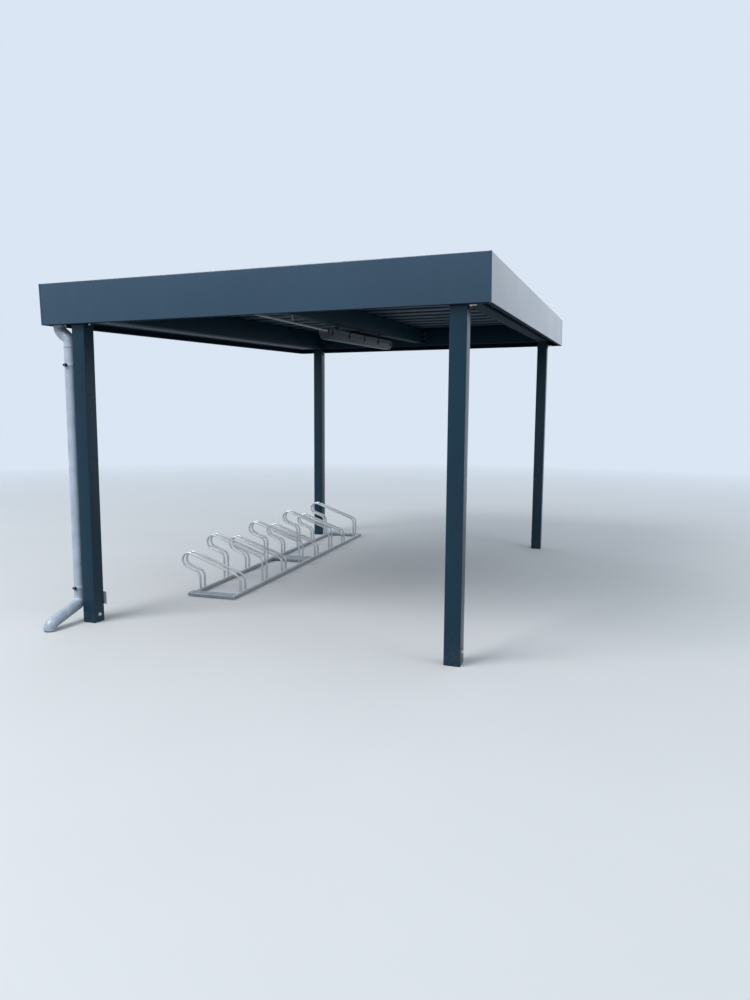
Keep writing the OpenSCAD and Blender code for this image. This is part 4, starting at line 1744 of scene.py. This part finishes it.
    def feed(self) -> None:
        """Makes the conduit, its clip under the purlin and its gland at the lamp."""
        s = self.setting
        x = self.x + self.conduit_right
        front = s.beam_low - self.conduit_drop - self.conduit_bend
        rear = self.top - self.conduit_entry * self.tray_high
        pipe = Blank("lamp_conduit_bent", s.roof)
        knee = Vector((x, 0, front))
        end = Vector((x, self.start, rear))
        corners = [Vector((x, 0, s.beam_low)), knee, end]
        pipe.tube(bent_path(corners, self.conduit_bend), self.conduit, self.conduit_wall, 24)
        pipe.join(CONDUIT_GREY, ["lamp_conduit"])
        along = facing(end - knee)
        gland = Blank("lamp_conduit_gland", s.roof)
        collar = [(self.conduit, 0), (0.0105, 0.001), (0.0115, 0.004), (0.0115, 0.016)]
        collar += [(0.0125, 0.017), (0.0125, 0.022), (self.conduit, 0.022)]
        seat = end - (end - knee).normalized() * self.gland_long
        gland.turned(collar, Matrix.Translation(seat) @ along, 20)
        gland.join(LATCH_GREY)
        clips = Blank("lamp_conduit_clip", s.roof)
        middle = knee.lerp(end, self.conduit_clip / self.start)
        inner, outer, half = self.conduit, self.conduit + self.conduit_wall, self.clip_half
        band = [(inner, -half), (outer, -half), (outer, half), (inner, half)]
        clips.turned(band, Matrix.Translation(middle) @ along, 20)
        top = middle.z + self.conduit + 0.0008
        low = (x - self.clip_stem, middle.y - half, top)
        high = (x + self.clip_stem, middle.y + half, s.purlin_low + 0.0002)
        clips.block(low, high, 0.001)
        clips.join(CONDUIT_GREY)


@dataclass
class BicycleRack:
    """Two lengths of galvanised rack: rails, cross plates and bent tube hoops with their welds."""

    setting: Setting
    pitch: float = 0.400
    first: float = 0.190
    last: float = 0.210
    places: int = 4
    leg_gap: float = 0.366
    pair: float = 0.084
    taper: float = math.radians(1.2)
    tube: float = 0.009
    wall: float = 0.002
    leg: float = 0.112
    extra: float = 0.083
    bend: float = 0.055
    turn: float = 0.059
    slope: float = math.radians(20)
    arm: float = 0.092
    rail: float = 0.035
    rail_thick: float = 0.004
    rail_gap: float = 0.001
    rail_bend: float = 0.004
    joint: float = 0.002
    plate_wide: float = 0.090
    plate_high: float = 0.026
    plate_thick: float = 0.003
    plate_bend: float = 0.0045
    plate_bolt: Fastener = Fastener(0.013, 0.012)
    plate_bolt_front: float = 0.045
    plate_bolt_rear: float = 0.055
    weld_sides: int = 28
    weld_waves: int = 7
    weld_swell: float = 0.0006
    weld_shift: float = 90.0
    weld_tight: float = 0.8
    length: float = field(init=False)
    back: float = field(init=False)

    def build(self) -> None:
        """Makes the hoops, welds, rails, plates and bolts."""
        self.length = self.first + (self.places - 1) * self.pitch + self.last
        self.back = self.tube + self.rail_gap
        for number in range(2 * self.places):
            self.hoop_pair(number)
        self.welds()
        self.rails()
        self.plates()

    def middle(self, number: int) -> float:
        """Gives the place of a pair of hoops along the rack.

        Args:
            number: The pair's number, from 0.

        Returns:
            The distance from the near end.
        """
        length, place = divmod(number, self.places)
        return length * self.length + self.first + place * self.pitch

    def hoop_place(self, number: int, side: int) -> Matrix:
        """Gives a hoop's frame: at its front leg, turned a little towards its twin.

        Args:
            number: The pair's number, from 0.
            side: -1 for the near hoop, 1 for the far one.

        Returns:
            The frame.
        """
        spot = (0, self.middle(number) + side * self.pair / 2, self.rail_thick)
        return Matrix.Translation(spot) @ Matrix.Rotation(side * self.taper, 4, "Z")

    def hoop_line(self, leg: float) -> list[Vector]:
        """Draws a hoop's middle line, from its front leg to its rear leg.

        Args:
            leg: The straight height of its front leg.

        Returns:
            The points along the line.
        """
        bend_angle = math.radians(90) - self.slope
        tangent = self.bend * math.tan(bend_angle / 2)
        up = Vector((-math.cos(self.slope), 0, math.sin(self.slope)))
        down = Vector((-math.sin(self.slope), 0, -math.cos(self.slope)))
        more = (self.leg_gap - 2 * self.turn * math.sin(self.slope)) / math.cos(self.slope)
        base = Vector((0, 0, 0))
        knee = UP * (leg + tangent)
        nose = knee + up * (tangent + self.arm + more + self.turn)
        chin = nose + down * 2 * self.turn
        elbow = chin - up * (self.turn + self.arm + tangent)
        foot = Vector((elbow.x, 0, 0))
        radii = [self.bend, self.turn, self.turn, self.bend]
        return bent_path([base, knee, nose, chin, elbow, foot], radii, math.radians(7))

    def hoop_pair(self, number: int) -> None:
        """Makes the two hoops of one place.

        Args:
            number: The pair's number, from 0.
        """
        blank = Blank(f"rack_hoop_pair_{number + 1}", self.setting.rack)
        leg = self.leg - self.rail_thick + (self.extra if number % 2 else 0.0)
        for side in (-1, 1):
            place = self.hoop_place(number, side)
            line = [place @ point for point in self.hoop_line(leg)]
            blank.tube(line, self.tube, self.wall, 20)
        blank.join(HOOP_ZINC, [f"rack_hoops_{number + 1}"], crease=40)

    def welds(self) -> None:
        """Makes the weld bead round each leg's foot."""
        beads = Blank("rack_weld_beads", self.setting.rack)
        r = self.tube
        profile = [(r - 0.001, 0), (r + 0.0042, 0), (r + 0.0034, 0.0018)]
        profile += [(r + 0.0016, 0.0036), (r - 0.001, 0.0044)]
        for number in range(2 * self.places):
            for side in (-1, 1):
                place = self.hoop_place(number, side)
                for x in (0.0, -self.leg_gap):
                    self.ripple(beads, profile, place @ Vector((x, 0, 0)))
        beads.join(WELD_ZINC, crease=60)

    def ripple(self, beads: Blank, profile: Outline, at: Vector) -> None:
        """Adds one bead with the small waves that a weld has.

        Args:
            beads: The piece that gets it.
            profile: The bead's section, each a radius and a height.
            at: The middle of the leg's foot.
        """
        rings = []
        for side in range(self.weld_sides):
            angle = math.tau * side / self.weld_sides
            swell = self.weld_swell * math.sin(self.weld_waves * angle + self.weld_shift * at.y)
            ring = []
            for index, (radius, height) in enumerate(profile):
                grown = radius + (swell if 0 < index < len(profile) - 1 else 0.0)
                # The bead stays narrow where the rail's upright leg stands beside it.
                if math.cos(angle) > self.weld_tight:
                    grown = min(grown, self.back + self.rail_gap)
                ring.append(at + Vector((grown * math.cos(angle), grown * math.sin(angle), height)))
            rings.append(ring)
        beads.skin(rings, loop=True)

    def rails(self) -> None:
        """Makes the four angle rails with their rounded inner fold."""
        along_y = Matrix(((1, 0, 0, 0), (0, 0, 1, 0), (0, 1, 0, 0), (0, 0, 0, 1)))
        half = self.rail_thick / 2
        outer = self.back + self.rail_thick
        line = [(outer - self.rail, half), (outer - half, half), (outer - half, self.rail)]
        outline = folded_outline(line, self.rail_thick, self.rail_bend)
        for name, x in (("rack_rail_front", 0.0), ("rack_rail_rear", -self.leg_gap)):
            blank = Blank(name + "_angle", self.setting.rack)
            for y in (0.0, self.length):
                place = Matrix.Translation((x, y, 0)) @ along_y
                blank.prism(outline, place, 0.0, self.length - self.joint)
            blank.join(RAIL_ZINC, [name])

    def plates(self) -> None:
        """Makes the folded cross plates with their bolts."""
        outer = self.back + self.rail_thick
        spans = (
            (outer - self.leg_gap, self.back),
            (outer - self.rail - self.leg_gap, self.back - self.leg_gap),
        )
        near = [0.0]
        middle = [self.length - self.joint - self.plate_wide, self.length]
        far = [2 * self.length - self.joint - self.plate_wide]
        half = self.plate_thick / 2
        low, high = self.rail_thick, self.rail_thick + self.plate_high - half
        wide = self.plate_wide - half
        line = [(half, low), (half, high), (wide, high), (wide, low)]
        outline = folded_outline(line, self.plate_thick, self.plate_bend)
        top = self.rail_thick + self.plate_high
        bolts = Blank("rack_plate_bolts", self.setting.rack)
        for name, starts in (("near", near), ("middle", middle), ("far", far)):
            blank = Blank(f"rack_plate_{name}_channel", self.setting.rack)
            for y in starts:
                for x0, x1 in spans:
                    blank.prism(outline, Matrix.Translation((0, y, 0)) @ ALONG_X, x0, x1)
                for x in (-self.plate_bolt_front, self.plate_bolt_rear - self.leg_gap):
                    at = Vector((x, y + self.plate_wide / 2, top))
                    bolts.bolt(at, UP, self.plate_bolt)
            # The plates take the darker zinc, a painted dark reflection.
            blank.join(PLATE_ZINC_SHADED, [f"rack_plate_{name}"])
        bolts.join(WELD_ZINC)


@dataclass
class Studio:
    """A plain pale floor, soft light and the photograph's viewpoint."""

    setting: Setting
    eye: tuple[float, float, float] = (2.2596, -5.9907, 1.472)
    pitch: float = math.radians(6.83)
    yaw: float = math.radians(19.09)
    roll: float = math.radians(0.37)
    focal: float = 26.53
    film: float = 36.0
    sight: float = 300.0
    aim: float = 1.2
    floor_size: float = 120.0
    floor_sides: int = 96
    floor_drop: float = 0.0005
    floor_colour: Colour = (0.7, 0.71, 0.72)
    floor_below: Colour = (0.17, 0.165, 0.16)
    floor_clouds: Cloud = Cloud(0.8, 3)
    fade: tuple[float, float] = (4.5, 15.0)
    backdrop: Colour = (0.7, 0.79, 0.9)
    sky: Colour = (0.8, 0.9, 1.0)
    overhead: Colour = (0.97, 0.985, 1.0)
    horizon_strength: float = 0.4
    zenith_strength: float = 0.78

    def build(self) -> None:
        """Makes the floor, the surroundings, the lamps and the camera."""
        self.floor()
        self.surroundings()
        self.lamps()
        self.camera()

    def floor(self) -> None:
        """Makes the floor, a large disc just under the shelter's feet."""
        mesh = bmesh.new()
        bmesh.ops.create_circle(mesh, cap_ends=True, radius=self.floor_size, segments=self.floor_sides)
        data = bpy.data.meshes.new("studio_floor")
        mesh.to_mesh(data)
        mesh.free()
        data.materials.append(self.floor_paint())
        floor = bpy.data.objects.new("studio_floor", data)
        floor.location = DOWN * self.floor_drop
        bpy.context.scene.collection.objects.link(floor)
        floor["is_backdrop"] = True

    def floor_paint(self) -> bpy.types.Material:
        """Makes the floor's paint: pale, darker for the light that it throws up, clear far away.

        Returns:
            The material.
        """
        w = Wiring("studio_floor_paint")
        nodes, links = w.nodes, w.links
        dark, light = shade(self.floor_colour, 0.985), shade(self.floor_colour, 1.015)
        pale = w.coat(w.band(self.floor_clouds), dark, light)
        path = nodes.new("ShaderNodeLightPath")
        tone = w.coat(path.outputs["Is Diffuse Ray"], pale, self.floor_below)
        w.wire(base_color=tone, roughness=0.85)
        distance = nodes.new("ShaderNodeVectorMath")
        distance.operation = "LENGTH"
        links.new(w.spot(), distance.inputs[0])
        seen = w.span(path.outputs["Is Diffuse Ray"], 0, 1, 1, 0)
        far = w.times(w.span(distance.outputs["Value"], *self.fade, 0, 1), seen)
        clear = nodes.new("ShaderNodeBsdfTransparent")
        mix = nodes.new("ShaderNodeMixShader")
        links.new(far, mix.inputs[0])
        links.new(w.shader.outputs[0], mix.inputs[1])
        links.new(clear.outputs[0], mix.inputs[2])
        links.new(mix.outputs[0], nodes["Material Output"].inputs["Surface"])
        return w.material

    def surroundings(self) -> None:
        """Makes the sky, brighter overhead, which the camera sees as a plain pale backdrop."""
        world = bpy.data.worlds.new("studio_surroundings")
        bpy.context.scene.world = world
        world.use_nodes = True
        nodes, links = world.node_tree.nodes, world.node_tree.links
        where = nodes.new("ShaderNodeTexCoord")
        parts = nodes.new("ShaderNodeSeparateXYZ")
        links.new(where.outputs["Generated"], parts.inputs[0])
        rise = nodes.new("ShaderNodeMapRange")
        rise.inputs["To Min"].default_value = self.horizon_strength
        rise.inputs["To Max"].default_value = self.zenith_strength
        links.new(parts.outputs["Z"], rise.inputs["Value"])
        light = nodes["Background"]
        light.inputs["Color"].default_value = (*self.sky, 1)
        links.new(rise.outputs[0], light.inputs["Strength"])
        seen = nodes.new("ShaderNodeBackground")
        seen.inputs["Color"].default_value = (*self.backdrop, 1)
        mirrored = nodes.new("ShaderNodeBackground")
        blend = nodes.new("ShaderNodeMix")
        blend.data_type = "RGBA"
        for place, colour in ((6, self.backdrop), (7, self.overhead)):
            blend.inputs[place].default_value = (*colour, 1)
        links.new(parts.outputs["Z"], blend.inputs[0])
        links.new(blend.outputs[2], mirrored.inputs["Color"])
        path = nodes.new("ShaderNodeLightPath")
        surface = light
        for ray, sight in (
            ("Is Glossy Ray", mirrored),
            ("Is Camera Ray", seen),
            ("Is Transmission Ray", seen),
        ):
            mix = nodes.new("ShaderNodeMixShader")
            links.new(path.outputs[ray], mix.inputs[0])
            links.new(surface.outputs[0], mix.inputs[1])
            links.new(sight.outputs[0], mix.inputs[2])
            surface = mix
        links.new(surface.outputs[0], nodes["World Output"].inputs["Surface"])

    def lamps(self) -> None:
        """Makes two large soft lamps, over the front left and far to the right."""
        for name, at, size, power in (
            ("soft_front_left", (-5.5, -9.0, 11.5), 7.0, 1250.0),
            ("soft_right", (10.0, -3.0, 9.0), 6.0, 200.0),
        ):
            light = bpy.data.lights.new(name, "AREA")
            light.energy = power
            light.size = size
            lamp = bpy.data.objects.new(name, light)
            lamp.location = at
            aim = UP * self.aim - Vector(at)
            lamp.rotation_euler = aim.to_track_quat("-Z", "Y").to_euler()
            bpy.context.scene.collection.objects.link(lamp)

    def camera(self) -> None:
        """Makes the camera at the photograph's viewpoint."""
        data = bpy.data.cameras.new("viewpoint")
        data.sensor_fit = "VERTICAL"
        data.sensor_height = self.film
        data.lens = self.focal
        data.clip_end = self.sight
        camera = bpy.data.objects.new("viewpoint", data)
        camera.matrix_world = (
            Matrix.Translation(self.eye)
            @ Matrix.Rotation(self.yaw, 4, "Z")
            @ Matrix.Rotation(math.radians(90) - self.pitch, 4, "X")
            @ Matrix.Rotation(self.roll, 4, "Z")
        )
        bpy.context.scene.collection.objects.link(camera)
        bpy.context.scene.camera = camera


def main() -> None:
    """Builds every sub-assembly in order and reports it."""
    logging.basicConfig(level=logging.INFO, format="%(name)s: %(message)s")
    bpy.context.scene.view_settings.view_transform = "Standard"
    setting = Setting()
    for assembly in (
        Studio(setting),
        Posts(setting),
        RoofFrame(setting),
        RoofSkin(setting),
        Fascia(setting),
        Drainage(setting),
        TubeLamp(setting),
        BicycleRack(setting),
    ):
        known = {piece.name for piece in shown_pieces()}
        assembly.build()
        for piece in sorted(piece.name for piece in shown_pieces() if piece.name not in known):
            LOG.info("%s made %s", type(assembly).__name__, piece)


if __name__ == "__main__":
    main()
